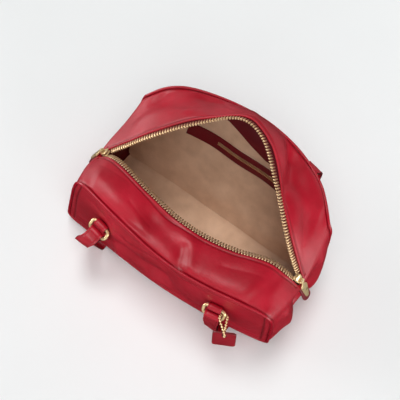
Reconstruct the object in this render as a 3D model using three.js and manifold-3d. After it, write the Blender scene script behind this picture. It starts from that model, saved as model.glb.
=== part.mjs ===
// A red leather shoulder bag that stands on its tucked straps, with its zip run open.
// Millimetres, +Z up, +X towards the bag's right end, -Y towards its front panel.
import * as THREE from 'three';
import { mergeVertices } from 'three/addons/utils/BufferGeometryUtils.js';
import Module from 'manifold-3d';

const wasm = await Module();
wasm.setup();

// Driving dimensions
const LEATHER = 1.6;
const LINING = 1.0;
const LINING_GAP = 0.5;
const CLEARANCE = 0.3;
const CORNER_RADIUS = 14;
const PIPING_RADIUS = 1.5;
const PIPING_PROUD = 1.0;
const PIPED_SEAM = 2.0;
const CORNER_SEAM = 7;
const PLAIN_SEAM = 1.1;
const BASE_SEAM = 1.6;
const TAPE_THICKNESS = 1.0;
const TAPE_UNDER_LEATHER = 7;
const TAPE_GAP = 0.8;
const ZIP_REVEAL = 5.2;
const ZIP_HALF_GAP = 2;
const TEETH_WIDTH = 3;
const TEETH_HEIGHT = 2.2;
const SLIDER = {
  length: 10, noseWidth: 6, tailWidth: 8.4, height: 4.4, ear: 1.2, earLength: 3, pinRadius: 0.8, setBack: 2,
};
const PULL = {
  length: 27, width: 9.6, thickness: 1.8, eyeRadius: 2, eyeBore: 1.15, eyeWidth: 3.2, droop: 12,
  neckEnd: 4.3, shoulder: 5.9, widest: 9.7,
};
const PULL_LEATHER = { from: 9, to: 34, width: 12, thickness: 2 };
const RING = { wire: 3.6, width: 28, depth: 15, corner: 4 };
const LOOP = { bore: 2.25, leather: 1.8 };
const RING_TAB = { width: 16, length: 30, thickness: 2, stand: 0.6 };
const STRAP = { width: 18, thickness: 2.6 };
const FOB = { width: 26, height: 33, thickness: 2.2, corner: 4, holeRadius: 2.7, holeDrop: 6.5 };
const BEAD = { radius: 1.6, pitch: 4.9, linkRadius: 0.6 };

// Lines that run along the bag: x at the left and right ends, before the corners are rounded.
const LINES = {
  frontBase: { left: -155, right: 130 },
  backBase: { left: -148, right: 131 },
  frontRim: { left: -127, right: 134 },
  backRim: { left: -134, right: 128 },
  zip: { left: -132, right: 132 },
};

// Cross-sections along the bag, from the left end (at 0) to the right end (at 1).
// Rims are the piped seams, zips the two rows of teeth, seam the height of the base.
const SECTIONS = [
  { at: 0, baseFY: -57, baseBY: 50, seam: 3, rimFY: -53, rimFZ: 150, zipFY: -5, zipFZ: 121,
    zipBY: -5, zipBZ: 121, rimBY: 78, rimBZ: 150 },
  { at: 0.06, baseFY: -58, baseBY: 50, seam: 4.6, rimFY: -55, rimFZ: 150, zipFY: -3.5, zipFZ: 139,
    zipBY: 6, zipBZ: 140, rimBY: 93, rimBZ: 151 },
  { at: 0.15, baseFY: -59.5, baseBY: 50, seam: 5.2, rimFY: -59, rimFZ: 150, zipFY: -7, zipFZ: 148,
    zipBY: 26, zipBZ: 161, rimBY: 105, rimBZ: 152 },
  { at: 0.3, baseFY: -62, baseBY: 50, seam: 5.2, rimFY: -65, rimFZ: 148, zipFY: -15, zipFZ: 147,
    zipBY: 62, zipBZ: 183, rimBY: 115.5, rimBZ: 153 },
  { at: 0.45, baseFY: -63.5, baseBY: 49, seam: 5.2, rimFY: -69.5, rimFZ: 146, zipFY: -20, zipFZ: 144,
    zipBY: 89, zipBZ: 199, rimBY: 121, rimBZ: 153 },
  { at: 0.58, baseFY: -62.5, baseBY: 49, seam: 5.2, rimFY: -70.5, rimFZ: 146, zipFY: -20, zipFZ: 144,
    zipBY: 84, zipBZ: 198, rimBY: 120, rimBZ: 153 },
  { at: 0.72, baseFY: -59.5, baseBY: 48, seam: 5.2, rimFY: -67.5, rimFZ: 147, zipFY: -14, zipFZ: 146,
    zipBY: 55, zipBZ: 185, rimBY: 113, rimBZ: 151 },
  { at: 0.86, baseFY: -54.5, baseBY: 48, seam: 5.2, rimFY: -62, rimFZ: 149, zipFY: -3, zipFZ: 148,
    zipBY: 22, zipBZ: 166, rimBY: 97, rimBZ: 149 },
  { at: 0.94, baseFY: -50.5, baseBY: 47, seam: 4.6, rimFY: -59, rimFZ: 149, zipFY: -1, zipFZ: 140,
    zipBY: 8, zipBZ: 142, rimBY: 81, rimBZ: 148 },
  { at: 1, baseFY: -47, baseBY: 47, seam: 3, rimFY: -57, rimFZ: 149, zipFY: 1, zipFZ: 121,
    zipBY: 1, zipBZ: 121, rimBY: 66, rimBZ: 147 },
];

// Nominal size of each panel along u and v, and how far it swells at its middle.
const PANELS = {
  front_panel: { across: 265, up: 152, swell: 6 },
  back_panel: { across: 270, up: 156, swell: 5 },
  top_front: { across: 262, up: 52, swell: 3 },
  top_back: { across: 285, up: 62, swell: 3 },
  side_left: { across: 118, up: 135, swell: 2 },
  side_right: { across: 110, up: 130, swell: 11 },
  base: { across: 278, up: 98, swell: 0 },
};

// Main folds: a line across a panel in shares of its sides, with a depth that is negative for a dent.
const FOLDS = [
  { panel: 'side_left', fromU: 0.5, fromV: 1, toU: 0.5, toV: 0.1, width: 17, depth: -15 },
  { panel: 'side_right', fromU: 0.5, fromV: 1, toU: 0.55, toV: 0.1, width: 17, depth: -19 },
  { panel: 'top_front', fromU: 0.3, fromV: 0.1, toU: 0.42, toV: 0.9, width: 16, depth: -5 },
  { panel: 'top_front', fromU: 0.62, fromV: 0.05, toU: 0.56, toV: 0.6, width: 8, depth: 3 },
  { panel: 'top_back', fromU: 0.3, fromV: 0.05, toU: 0.22, toV: 0.85, width: 13, depth: -7 },
  { panel: 'top_back', fromU: 0.75, fromV: 0.1, toU: 0.62, toV: 0.7, width: 15, depth: -5 },
  { panel: 'front_panel', fromU: 0.25, fromV: 0.1, toU: 0.32, toV: 0.85, width: 16, depth: 3 },
  { panel: 'front_panel', fromU: 0.55, fromV: 0.1, toU: 0.5, toV: 0.8, width: 22, depth: -4 },
  { panel: 'back_panel', fromU: 0.5, fromV: 0.15, toU: 0.5, toV: 0.85, width: 30, depth: -4 },
];

// Handle ends: the panel that carries each, its place there, and the angles in degrees at which the
// ring and then the strap lift from the panel's normal. The strap reaches out past the ring, drifts
// along the bag, then falls past a belly and a toe, both measured out from the base, and tucks under it.
const HANDLE_ENDS = [
  { name: 'front_left', panel: 'front_panel', u: 0.2, v: 0.7, lift: -45, leave: -8,
    reach: 11, drift: -18, belly: 20, toe: 12 },
  { name: 'front_right', panel: 'front_panel', u: 0.77, v: 0.72, lift: -55, leave: -75,
    reach: 4, drift: 0, belly: 23, toe: 13 },
  { name: 'back_left', panel: 'back_panel', u: 0.83, v: 0.6, lift: -30, leave: -60,
    reach: 6, drift: -3, belly: 40, toe: 19 },
  { name: 'back_right', panel: 'back_panel', u: 0.25, v: 0.8, lift: 25, leave: -20,
    reach: 6, drift: 3, belly: 46, toe: 19 },
];

// A strap's way from its ring to the middle of the base. The bend is where it turns down, at shares of
// the reach and the drift. Its tuck is measured in from the base's edge and along the bag, with the
// angle of its width about Z in degrees.
const STRAP_BEND = { ahead: 0.6, beyond: 0.4, drop: 6, fall: 16, bendDrift: 0.35, fallDrift: 0.6 };
const STRAP_FALL = { bellyHeight: 0.5, toeHeight: 18, heelOut: 7.5, heelLift: 1.8, flatOut: 3.5 };
const STRAP_TUCK = [
  { inside: 4, along: 0, turn: 0 }, { inside: 12, along: 1, turn: 10 }, { inside: 26, along: 9, turn: 45 },
  { inside: 34, along: 24, turn: 80 }, { inside: 35, along: 34, turn: 90 },
];
const FEET = { left: 0.2, right: 0.8 };

// Where the fob hangs: the middle of its upper edge, its yaw about Z and how far its foot leans out.
const FOB_PLACE = { x: 95, y: -86, z: 99, yaw: 28, lean: 10 };

// The chain's way round the wire of its ring, in shares of its distance from the wire, and through the
// fob's hole, with millimetres above the hole and shares of its distance from the fob.
const CHAIN_ROUND_RING = [
  { across: -0.9, out: 1.35 }, { across: -1.05, out: 0.2 }, { across: -0.75, out: -0.8 },
  { across: 0, out: -1.1 }, { across: 0.75, out: -0.8 }, { across: 1.05, out: 0.2 },
];
const CHAIN_THROUGH_FOB = [
  { above: 9, out: -1 }, { above: 2.5, out: -0.9 }, { above: -0.7, out: 0 }, { above: 2.5, out: 0.9 },
  { above: 9, out: 1 },
];

// The zip pocket on the back lining, in shares of the back panel's sides.
const POCKET = {
  fromU: 0.24, toU: 0.78, fromV: 0.55, toV: 0.67, thickness: 1.4,
  zipFromU: 0.33, zipToU: 0.63, zipFromV: 0.6, zipToV: 0.63, zipThickness: 1.2,
};

const leatherRed = new THREE.MeshStandardMaterial({ color: 0xa5202c, roughness: 0.42, metalness: 0 });
const edgeRed = new THREE.MeshStandardMaterial({ color: 0x7d0f18, roughness: 0.5, metalness: 0 });
const tapeRed = new THREE.MeshStandardMaterial({ color: 0x6a0c14, roughness: 0.85, metalness: 0 });
const liningTan = new THREE.MeshStandardMaterial({ color: 0xb09a78, roughness: 0.9, metalness: 0 });
const brass = new THREE.MeshStandardMaterial({ color: 0xc8ad72, roughness: 0.28, metalness: 1 });

const bag = new THREE.Group();
const vector = (x, y, z) => new THREE.Vector3(x, y, z);
const radians = THREE.MathUtils.degToRad;

function addNode(name, geometry, material, parent = bag) {
  const mesh = new THREE.Mesh(geometry, material);
  mesh.name = name;
  parent.add(mesh);
  return mesh;
}

// A value from the section table, on a smooth curve through its rows.
function sectionValue(key, at) {
  const last = SECTIONS.length - 1;
  let row = 0;
  while (row < last - 1 && SECTIONS[row + 1].at < at) {
    row += 1;
  }
  const slope = (i) => {
    const before = SECTIONS[Math.max(i - 1, 0)];
    const after = SECTIONS[Math.min(i + 1, last)];
    return (after[key] - before[key]) / (after.at - before.at);
  };
  const start = SECTIONS[row];
  const end = SECTIONS[row + 1];
  const span = end.at - start.at;
  const t = (at - start.at) / span;
  const rise = (3 - 2 * t) * t * t;
  const leave = t * (1 - t) * (1 - t) * span * slope(row);
  const arrive = t * t * (t - 1) * span * slope(row + 1);
  return start[key] * (1 - rise) + end[key] * rise + leave + arrive;
}

// How far a rounded corner cuts in, at a distance along the edge from the sharp corner.
const CORNER_START = CORNER_RADIUS * (1 - Math.SQRT1_2);
function cornerCut(distance) {
  const left = CORNER_RADIUS - distance;
  return left > 0 ? CORNER_RADIUS - Math.sqrt(CORNER_RADIUS ** 2 - left ** 2) : 0;
}

// A line along the bag whose ends bend up (+1) or down (-1) into the panel's corners.
function alongLine(name, yKey, zKey, bend) {
  const { left, right } = LINES[name];
  const span = right - left - 2 * CORNER_START;
  return (u) => {
    const nearest = Math.max(Math.min(u, 1 - u), 0) * span + CORNER_START;
    const x = left + CORNER_START + span * u;
    return vector(x, sectionValue(yKey, u), sectionValue(zKey, u) + bend * cornerCut(nearest));
  };
}

const frontBase = alongLine('frontBase', 'baseFY', 'seam', 1);
const backBase = alongLine('backBase', 'baseBY', 'seam', 1);
const frontRim = alongLine('frontRim', 'rimFY', 'rimFZ', -1);
const backRim = alongLine('backRim', 'rimBY', 'rimBZ', -1);

function zipLine(yKey, zKey, side) {
  const { left, right } = LINES.zip;
  return (u) => {
    const x = left + (right - left) * u;
    return vector(x, sectionValue(yKey, u) + side * ZIP_HALF_GAP, sectionValue(zKey, u));
  };
}

const frontZip = zipLine('zipFY', 'zipFZ', -1);
const backZip = zipLine('zipBY', 'zipBZ', 1);

// An upright seam at an end of a panel, with its corners rounded.
function uprightEdge(base, rim, end) {
  const low = base(end);
  const high = rim(end);
  const height = high.z - low.z;
  const outward = end === 0 ? -1 : 1;
  return (v) => {
    const point = low.clone().lerp(high, v);
    const below = cornerCut(v * height + CORNER_START);
    const above = cornerCut((1 - v) * height + CORNER_START);
    point.x += outward * (CORNER_START - below - above);
    return point;
  };
}

const straight = (from, to) => (t) => from.clone().lerp(to, t);
const reversed = (line) => (t) => line(1 - t);

// The edge where a top strip turns down into a side: a shallow bow from the rim to the zip's end.
const CREASE_BOW = 4;
function crease(rim, zip, end) {
  const from = rim(end);
  const to = zip(end);
  return (t) => from.clone().lerp(to, t).add(vector(0, 0, CREASE_BOW * 4 * t * (1 - t)));
}

const uprights = {
  frontLeft: uprightEdge(frontBase, frontRim, 0),
  frontRight: uprightEdge(frontBase, frontRim, 1),
  backLeft: uprightEdge(backBase, backRim, 0),
  backRight: uprightEdge(backBase, backRim, 1),
};
const creases = {
  frontLeft: crease(frontRim, frontZip, 0),
  frontRight: crease(frontRim, frontZip, 1),
  backLeft: crease(backRim, backZip, 0),
  backRight: crease(backRim, backZip, 1),
};

// Two creases end to end, as the upper edge of a side.
const sideTop = (first, second) => (t) => (t < 0.5 ? first(2 * t) : second(2 - 2 * t));

// A surface spanned by its four edges.
function coons({ bottom, top, left, right }) {
  const corners = [bottom(0), bottom(1), top(0), top(1)];
  return (u, v) => {
    const point = vector(0, 0, 0);
    point.addScaledVector(bottom(u), 1 - v);
    point.addScaledVector(top(u), v);
    point.addScaledVector(left(v), 1 - u);
    point.addScaledVector(right(v), u);
    point.addScaledVector(corners[0], -(1 - u) * (1 - v));
    point.addScaledVector(corners[1], -u * (1 - v));
    point.addScaledVector(corners[2], -(1 - u) * v);
    point.addScaledVector(corners[3], -u * v);
    return point;
  };
}

const outlines = {
  front_panel: { bottom: frontBase, top: frontRim, left: uprights.frontLeft, right: uprights.frontRight },
  back_panel: {
    bottom: reversed(backBase), top: reversed(backRim), left: uprights.backRight, right: uprights.backLeft,
  },
  top_front: { bottom: frontRim, top: frontZip, left: creases.frontLeft, right: creases.frontRight },
  top_back: {
    bottom: reversed(backRim), top: reversed(backZip), left: creases.backRight, right: creases.backLeft,
  },
  side_right: {
    bottom: straight(frontBase(1), backBase(1)), top: sideTop(creases.frontRight, creases.backRight),
    left: uprights.frontRight, right: uprights.backRight,
  },
  side_left: {
    bottom: straight(backBase(0), frontBase(0)), top: sideTop(creases.backLeft, creases.frontLeft),
    left: uprights.backLeft, right: uprights.frontLeft,
  },
  base: {
    bottom: backBase, top: frontBase,
    left: straight(backBase(0), frontBase(0)), right: straight(backBase(1), frontBase(1)),
  },
};

// Outward unit normal of a surface, from small steps to either side.
const STEP = 1e-3;
function normalAt(surface, u, v) {
  const alongU = surface(u + STEP, v).sub(surface(u - STEP, v));
  const alongV = surface(u, v + STEP).sub(surface(u, v - STEP));
  return alongU.cross(alongV).normalize();
}

const smooth = THREE.MathUtils.smoothstep;
const fade = (t, reach) => smooth(t, 0, reach) * smooth(1 - t, 0, reach);
const EDGE_FADE = 0.2;

// Height of a panel's swell and folds above the surface that its edges span.
function relief(panel, u, v) {
  const { across, up, swell } = PANELS[panel];
  let height = swell * Math.sin(Math.PI * THREE.MathUtils.clamp(u, 0, 1)) ** 0.6
    * Math.sin(Math.PI * THREE.MathUtils.clamp(v, 0, 1));
  for (const fold of FOLDS.filter((row) => row.panel === panel)) {
    const line = new THREE.Line3(
      vector(fold.fromU * across, fold.fromV * up, 0),
      vector(fold.toU * across, fold.toV * up, 0),
    );
    const point = vector(u * across, v * up, 0);
    const distance = line.closestPointToPoint(point, true, vector(0, 0, 0)).distanceTo(point);
    const bell = Math.exp(-((distance / fold.width) ** 2));
    height += fold.depth * bell * fade(u, EDGE_FADE) * fade(v, EDGE_FADE);
  }
  return height;
}

function panelSurface(panel) {
  const plain = coons(outlines[panel]);
  return (u, v) => plain(u, v).addScaledVector(normalAt(plain, u, v), relief(panel, u, v));
}

const surfaces = Object.fromEntries(Object.keys(PANELS).map((panel) => [panel, panelSurface(panel)]));
const offset = (surface, distance) => (u, v) => (
  surface(u, v).addScaledVector(normalAt(surface, u, v), distance)
);

// Even stations along a panel, cut short at both ends by the shares that a seam and a slider take.
function stations(steps, ...ends) {
  const clear = Math.max(...ends) + 0.3 / steps;
  const even = Array.from({ length: steps + 1 }, (_, i) => i / steps);
  const middle = even.filter((u) => u > clear && u < 1 - clear);
  return [...ends, ...middle, ...ends.map((end) => 1 - end).reverse()];
}

// Even levels between the first and last v of a strip.
const evenly = ([low, high], rows) => (
  Array.from({ length: rows + 1 }, (_, j) => low + (high - low) * (j / rows))
);

// A closed wall on a surface: rows of points on both faces, joined round the border.
// levels gives the list of v at each u, so that an edge can follow the seam beside it.
function wall(surface, thickness, at, levels) {
  const positions = [];
  const indices = [];
  const columns = at.length - 1;
  const rows = levels(at[0]).length - 1;
  const stride = rows + 1;
  const layer = (columns + 1) * stride;
  for (const side of [0.5, -0.5]) {
    for (const u of at) {
      for (const v of levels(u)) {
        const point = surface(u, v).addScaledVector(normalAt(surface, u, v), side * thickness);
        positions.push(point.x, point.y, point.z);
      }
    }
  }
  const quad = (a, b, c, d) => indices.push(a, b, c, a, c, d);
  for (let i = 0; i < columns; i += 1) {
    for (let j = 0; j < rows; j += 1) {
      const a = i * stride + j;
      const b = a + stride;
      quad(a, b, b + 1, a + 1);
      quad(layer + a, layer + a + 1, layer + b + 1, layer + b);
    }
  }
  for (let i = 0; i < columns; i += 1) {
    const low = i * stride;
    const high = low + rows;
    quad(low, layer + low, layer + low + stride, low + stride);
    quad(high, high + stride, layer + high + stride, layer + high);
  }
  for (let j = 0; j < rows; j += 1) {
    const first = j;
    const last = columns * stride + j;
    quad(first, first + 1, layer + first + 1, layer + first);
    quad(last, layer + last, layer + last + 1, last + 1);
  }
  const geometry = new THREE.BufferGeometry();
  geometry.setAttribute('position', new THREE.Float32BufferAttribute(positions, 3));
  geometry.setIndex(indices);
  return geometry;
}

// The five plain panels: width of the seams at their ends and at their bottom and top. At the end
// columns the seam is wider, so that a panel keeps clear of the piping round its corners.
const PANEL_SEAMS = [
  { panel: 'front_panel', ends: PIPED_SEAM, edges: PIPED_SEAM, columns: 14, rows: 6 },
  { panel: 'back_panel', ends: PIPED_SEAM, edges: PIPED_SEAM, columns: 14, rows: 6 },
  { panel: 'base', ends: PLAIN_SEAM, edges: BASE_SEAM, columns: 12, rows: 3 },
  { panel: 'side_left', ends: PIPED_SEAM, edges: PLAIN_SEAM, columns: 12, rows: 8 },
  { panel: 'side_right', ends: PIPED_SEAM, edges: PLAIN_SEAM, columns: 12, rows: 8 },
];
function panelGrid({ panel, ends, edges, columns, rows }) {
  const { across, up } = PANELS[panel];
  const at = stations(columns, ends / across);
  const cornered = panel.endsWith('panel');
  const seamAt = (u) => (cornered && (u === at[0] || u === at.at(-1)) ? CORNER_SEAM : edges);
  const levels = (u) => stations(rows, seamAt(u) / up);
  return { at, levels };
}
for (const row of PANEL_SEAMS) {
  const { at, levels } = panelGrid(row);
  addNode(row.panel, wall(surfaces[row.panel], LEATHER, at, levels), leatherRed);
}

// The lining of the back panel.
const backRow = PANEL_SEAMS.find((row) => row.panel === 'back_panel');
const backGrid = panelGrid(backRow);
const liningDepth = (LEATHER + LINING) / 2 + LINING_GAP;
const liningSurface = offset(surfaces.back_panel, -liningDepth);
addNode('lining_back', wall(liningSurface, LINING, backGrid.at, backGrid.levels), liningTan);

// Top strips with the zip under their free edges. A strip is measured from its row of teeth:
// span gives the v range between two distances from that row, the second past it where negative.
const STRIP_COLUMNS = 22;
const STRIP_ROWS = 5;
for (const side of ['front', 'back']) {
  const panel = `top_${side}`;
  const strip = surfaces[panel];
  const width = (u) => strip(u, 0).distanceTo(strip(u, 1));
  const span = (far, near, rows) => (u) => evenly([1 - far / width(u), 1 - near / width(u)], rows);
  const leatherLevels = (u) => evenly([PIPED_SEAM / width(u), 1 - ZIP_REVEAL / width(u)], STRIP_ROWS);
  const under = offset(strip, -(LEATHER + TAPE_THICKNESS) / 2 - TAPE_GAP);
  const zipEnd = (SLIDER.length + 2) / PANELS[panel].across;
  const stripStations = stations(STRIP_COLUMNS, PLAIN_SEAM / PANELS[panel].across, zipEnd);
  const zipStations = stations(STRIP_COLUMNS, zipEnd);
  const tapeLevels = span(ZIP_REVEAL + TAPE_UNDER_LEATHER, TEETH_WIDTH / 2 + CLEARANCE, 2);
  const teethLevels = span(TEETH_WIDTH / 2, -TEETH_WIDTH / 2, 1);
  addNode(panel, wall(strip, LEATHER, stripStations, leatherLevels), leatherRed);
  addNode(`zip_tape_${side}`, wall(under, TAPE_THICKNESS, zipStations, tapeLevels), tapeRed);
  addNode(`zip_teeth_${side}`, wall(under, TEETH_HEIGHT, zipStations, teethLevels), brass);
}

// A tube round a closed loop of points, with a ring of vertices at each point.
function closedTube(points, radius, sides) {
  const curve = new THREE.CatmullRomCurve3(points, true);
  curve.getPointAt = curve.getPoint;
  curve.getTangentAt = curve.getTangent;
  return new THREE.TubeGeometry(curve, points.length, radius, sides, true);
}

// Leather-covered piping round the front and back panels, just outside their seams.
// Its points crowd towards the corners, where the loop turns.
const PIPING_SIDES = 5;
const PIPING_STEPS = { bottom: 14, side: 12, top: 18 };
const crowded = (line, count) => (
  Array.from({ length: count }, (_, i) => line((1 - Math.cos(Math.PI * (i / count))) / 2))
);
for (const side of ['front', 'back']) {
  const { bottom, top, left, right } = outlines[`${side}_panel`];
  const loop = [
    ...crowded(bottom, PIPING_STEPS.bottom), ...crowded(right, PIPING_STEPS.side),
    ...crowded(reversed(top), PIPING_STEPS.top), ...crowded(reversed(left), PIPING_STEPS.side),
  ];
  const middle = new THREE.Box3().setFromPoints(loop).getCenter(vector(0, 0, 0));
  const outY = side === 'front' ? -1 : 1;
  const piping = loop.map((point, i) => {
    const before = loop.at(i - 1);
    const after = loop[(i + 1) % loop.length];
    const across = after.clone().sub(before).cross(vector(0, 1, 0)).normalize();
    const away = across.dot(point.clone().sub(middle)) < 0 ? -1 : 1;
    const outward = across.multiplyScalar(away).add(vector(0, outY, 0)).normalize();
    return point.clone().addScaledVector(outward, PIPING_PROUD);
  });
  addNode(`${side}_piping`, closedTube(piping, PIPING_RADIUS, PIPING_SIDES), leatherRed);
}

// The zip pocket: a leather welt on the back lining, with a short zip along it.
const between = (from, to) => stations(backRow.columns, 0).filter((u) => u > from && u < to);
const weltDepth = liningDepth + (LINING + POCKET.thickness) / 2 + LINING_GAP;
const weltSurface = offset(surfaces.back_panel, -weltDepth);
const weltLevels = evenly([POCKET.fromV, POCKET.toV], 2);
const weltStations = between(POCKET.fromU, POCKET.toU);
addNode('pocket_welt', wall(weltSurface, POCKET.thickness, weltStations, () => weltLevels), leatherRed);
const zipDepth = weltDepth + (POCKET.thickness + POCKET.zipThickness) / 2 + LINING_GAP;
const zipSurface = offset(surfaces.back_panel, -zipDepth);
const zipLevels = evenly([POCKET.zipFromV, POCKET.zipToV], 1);
const pocketZipStations = between(POCKET.zipFromU, POCKET.zipToU);
addNode('pocket_zip', wall(zipSurface, POCKET.zipThickness, pocketZipStations, () => zipLevels), brass);

// Joins solids that overlap into one body.
function join(geometries) {
  const solids = geometries.map((geometry) => {
    const plain = geometry.clone();
    plain.deleteAttribute('normal');
    plain.deleteAttribute('uv');
    const merged = mergeVertices(plain);
    return new wasm.Manifold(new wasm.Mesh({
      numProp: 3,
      vertProperties: merged.attributes.position.array,
      triVerts: new Uint32Array(merged.index.array),
    }));
  });
  const mesh = solids.reduce((whole, solid) => whole.add(solid)).getMesh();
  const geometry = new THREE.BufferGeometry();
  geometry.setAttribute('position', new THREE.BufferAttribute(mesh.vertProperties, 3));
  geometry.setIndex(new THREE.BufferAttribute(mesh.triVerts, 1));
  return geometry;
}

// A plate or bar: a flat outline raised to a depth, centred on its plane.
function plate(shape, depth, curveSegments = 5) {
  const geometry = new THREE.ExtrudeGeometry(shape, { depth, bevelEnabled: false, curveSegments });
  return geometry.translate(0, 0, -depth / 2);
}

// Turns a plate's plane so that its outline lies across the x axis: x becomes z, and y stays.
const ACROSS_X = new THREE.Matrix4().makeBasis(vector(0, 0, 1), vector(0, 1, 0), vector(-1, 0, 0));
// Turns a plate's plane so that its outline lies across the y axis: x stays, and y becomes z.
const ACROSS_Y = new THREE.Matrix4().makeBasis(vector(1, 0, 0), vector(0, 0, 1), vector(0, -1, 0));

// Zip sliders at the two ends, each with a hinged pull. In a slider's own frame x runs out along
// the zip, y across it and z away from the bag.
function sliderGeometry() {
  const { length, noseWidth, tailWidth, height, ear, pinRadius } = SLIDER;
  const body = new THREE.Shape([
    new THREE.Vector2(-length / 2, -tailWidth / 2), new THREE.Vector2(0, -tailWidth / 2),
    new THREE.Vector2(length / 2, -noseWidth / 2), new THREE.Vector2(length / 2, noseWidth / 2),
    new THREE.Vector2(0, tailWidth / 2), new THREE.Vector2(-length / 2, tailWidth / 2),
  ]);
  const earHeight = PIN.z - height / 2 + pinRadius;
  const ears = [-1, 1].map((side) => (
    new THREE.BoxGeometry(SLIDER.earLength, ear, earHeight + 1).translate(
      PIN.x, side * (PULL.eyeWidth / 2 + CLEARANCE + ear / 2), height / 2 + (earHeight - 1) / 2,
    )
  ));
  const pin = new THREE.CylinderGeometry(pinRadius, pinRadius, PULL.eyeWidth + 2 * CLEARANCE + ear, 8);
  return join([plate(body, height), ...ears, pin.translate(PIN.x, 0, PIN.z)]);
}

// The brass pull, along x from the middle of its eye, widest near its eye and drawn to a round tip.
function pullGeometry() {
  const { length, width, thickness, eyeRadius, eyeBore, eyeWidth, neckEnd, shoulder, widest } = PULL;
  const eye = new THREE.Shape().absarc(0, 0, eyeRadius, 0, 2 * Math.PI);
  eye.holes.push(new THREE.Path().absarc(0, 0, eyeBore, 0, 2 * Math.PI));
  const neck = eyeWidth / 2;
  const tip = width / 4;
  const leaf = new THREE.Shape();
  leaf.moveTo((eyeRadius + eyeBore) / 2, -neck);
  leaf.lineTo(neckEnd, -neck);
  leaf.quadraticCurveTo(shoulder, -width / 2, widest, -width / 2);
  leaf.lineTo(length - tip, -tip);
  leaf.absarc(length - tip, 0, tip, -Math.PI / 2, Math.PI / 2);
  leaf.lineTo(widest, width / 2);
  leaf.quadraticCurveTo(shoulder, width / 2, neckEnd, neck);
  leaf.lineTo((eyeRadius + eyeBore) / 2, neck);
  return join([plate(eye, eyeWidth).applyMatrix4(ACROSS_Y), plate(leaf, thickness, 3)]);
}

function pullLeatherGeometry() {
  const { from, to, width, thickness } = PULL_LEATHER;
  const tab = new THREE.Shape();
  tab.moveTo(from, -width / 2);
  tab.lineTo(to - width / 2, -width / 2);
  tab.absarc(to - width / 2, 0, width / 2, -Math.PI / 2, Math.PI / 2);
  tab.lineTo(from, width / 2);
  return plate(tab, thickness, 4).translate(0, 0, -(PULL.thickness + thickness) / 2 - CLEARANCE);
}

const PIN = { x: SLIDER.length / 2 - 3, z: SLIDER.height / 2 + PULL.eyeRadius + CLEARANCE };
const ZIP_AIM = 0.05;
for (const [side, end] of [['left', 0], ['right', 1]]) {
  const inner = Math.abs(end - ZIP_AIM);
  const zipMiddle = (u) => frontZip(u).add(backZip(u)).multiplyScalar(0.5);
  const out = zipMiddle(end).sub(zipMiddle(inner)).normalize();
  const across = vector(0, end === 0 ? -1 : 1, 0).projectOnPlane(out).normalize();
  const slider = new THREE.Group();
  slider.quaternion.setFromRotationMatrix(
    new THREE.Matrix4().makeBasis(out, across, out.clone().cross(across)),
  );
  slider.position.copy(zipMiddle(end)).addScaledVector(out, -SLIDER.length / 2 - SLIDER.setBack);
  bag.add(slider);
  addNode(`zip_slider_${side}`, sliderGeometry(), brass, slider);
  const pull = new THREE.Group();
  pull.position.set(PIN.x, 0, PIN.z);
  pull.rotation.y = radians(PULL.droop);
  slider.add(pull);
  addNode(`zip_pull_${side}`, pullGeometry(), brass, pull);
  addNode(`pull_leather_${side}`, pullLeatherGeometry(), edgeRed, pull);
}

// Handle ends: a leather tab on the panel, folded round a brass ring. In an end's own frame x runs
// along the bag, y up the panel and z out of it.
const LOOP_RADIUS = LOOP.bore + LOOP.leather;
const LOOP_CENTRE = { y: 2, z: RING_TAB.stand + LOOP_RADIUS };
function ringTabGeometry() {
  const { width, length, thickness, stand } = RING_TAB;
  const front = stand + thickness;
  const meets = Math.acos((front - LOOP_CENTRE.z) / LOOP_RADIUS);
  const tab = new THREE.Shape();
  tab.moveTo(stand, -length);
  tab.lineTo(stand, LOOP_CENTRE.y);
  tab.absarc(LOOP_CENTRE.z, LOOP_CENTRE.y, LOOP_RADIUS, Math.PI, -meets, true);
  tab.lineTo(front, -length);
  tab.holes.push(new THREE.Path().absarc(LOOP_CENTRE.z, LOOP_CENTRE.y, LOOP.bore, 0, 2 * Math.PI));
  return plate(tab, width).applyMatrix4(ACROSS_X);
}

// The ring's wire, a rounded rectangle whose near side lies in the tab's loop.
function ringGeometry(reachOut) {
  const { wire, width, depth, corner } = RING;
  const halfWidth = (width - wire) / 2;
  const far = depth - wire;
  const outline = new THREE.Path();
  outline.moveTo(halfWidth - corner, 0);
  outline.absarc(halfWidth - corner, corner, corner, -Math.PI / 2, 0);
  outline.absarc(halfWidth - corner, far - corner, corner, 0, Math.PI / 2);
  outline.absarc(corner - halfWidth, far - corner, corner, Math.PI / 2, Math.PI);
  outline.absarc(corner - halfWidth, corner, corner, Math.PI, 1.5 * Math.PI);
  outline.closePath();
  const points = outline.getPoints(2).slice(0, -1).map(({ x, y }) => (
    vector(x, LOOP_CENTRE.y, LOOP_CENTRE.z).addScaledVector(reachOut, y)
  ));
  const distinct = points.filter((point, i) => point.distanceTo(points.at(i - 1)) > 0.01);
  return closedTube(distinct, wire / 2, 6);
}

// The end of the strap, folded round the far side of the ring.
function strapLoopGeometry() {
  const loop = new THREE.Shape().absarc(0, 0, LOOP_RADIUS, 0, 2 * Math.PI);
  loop.holes.push(new THREE.Path().absarc(0, 0, LOOP.bore, 0, 2 * Math.PI));
  return plate(loop, STRAP.width).applyMatrix4(ACROSS_X);
}

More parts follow.
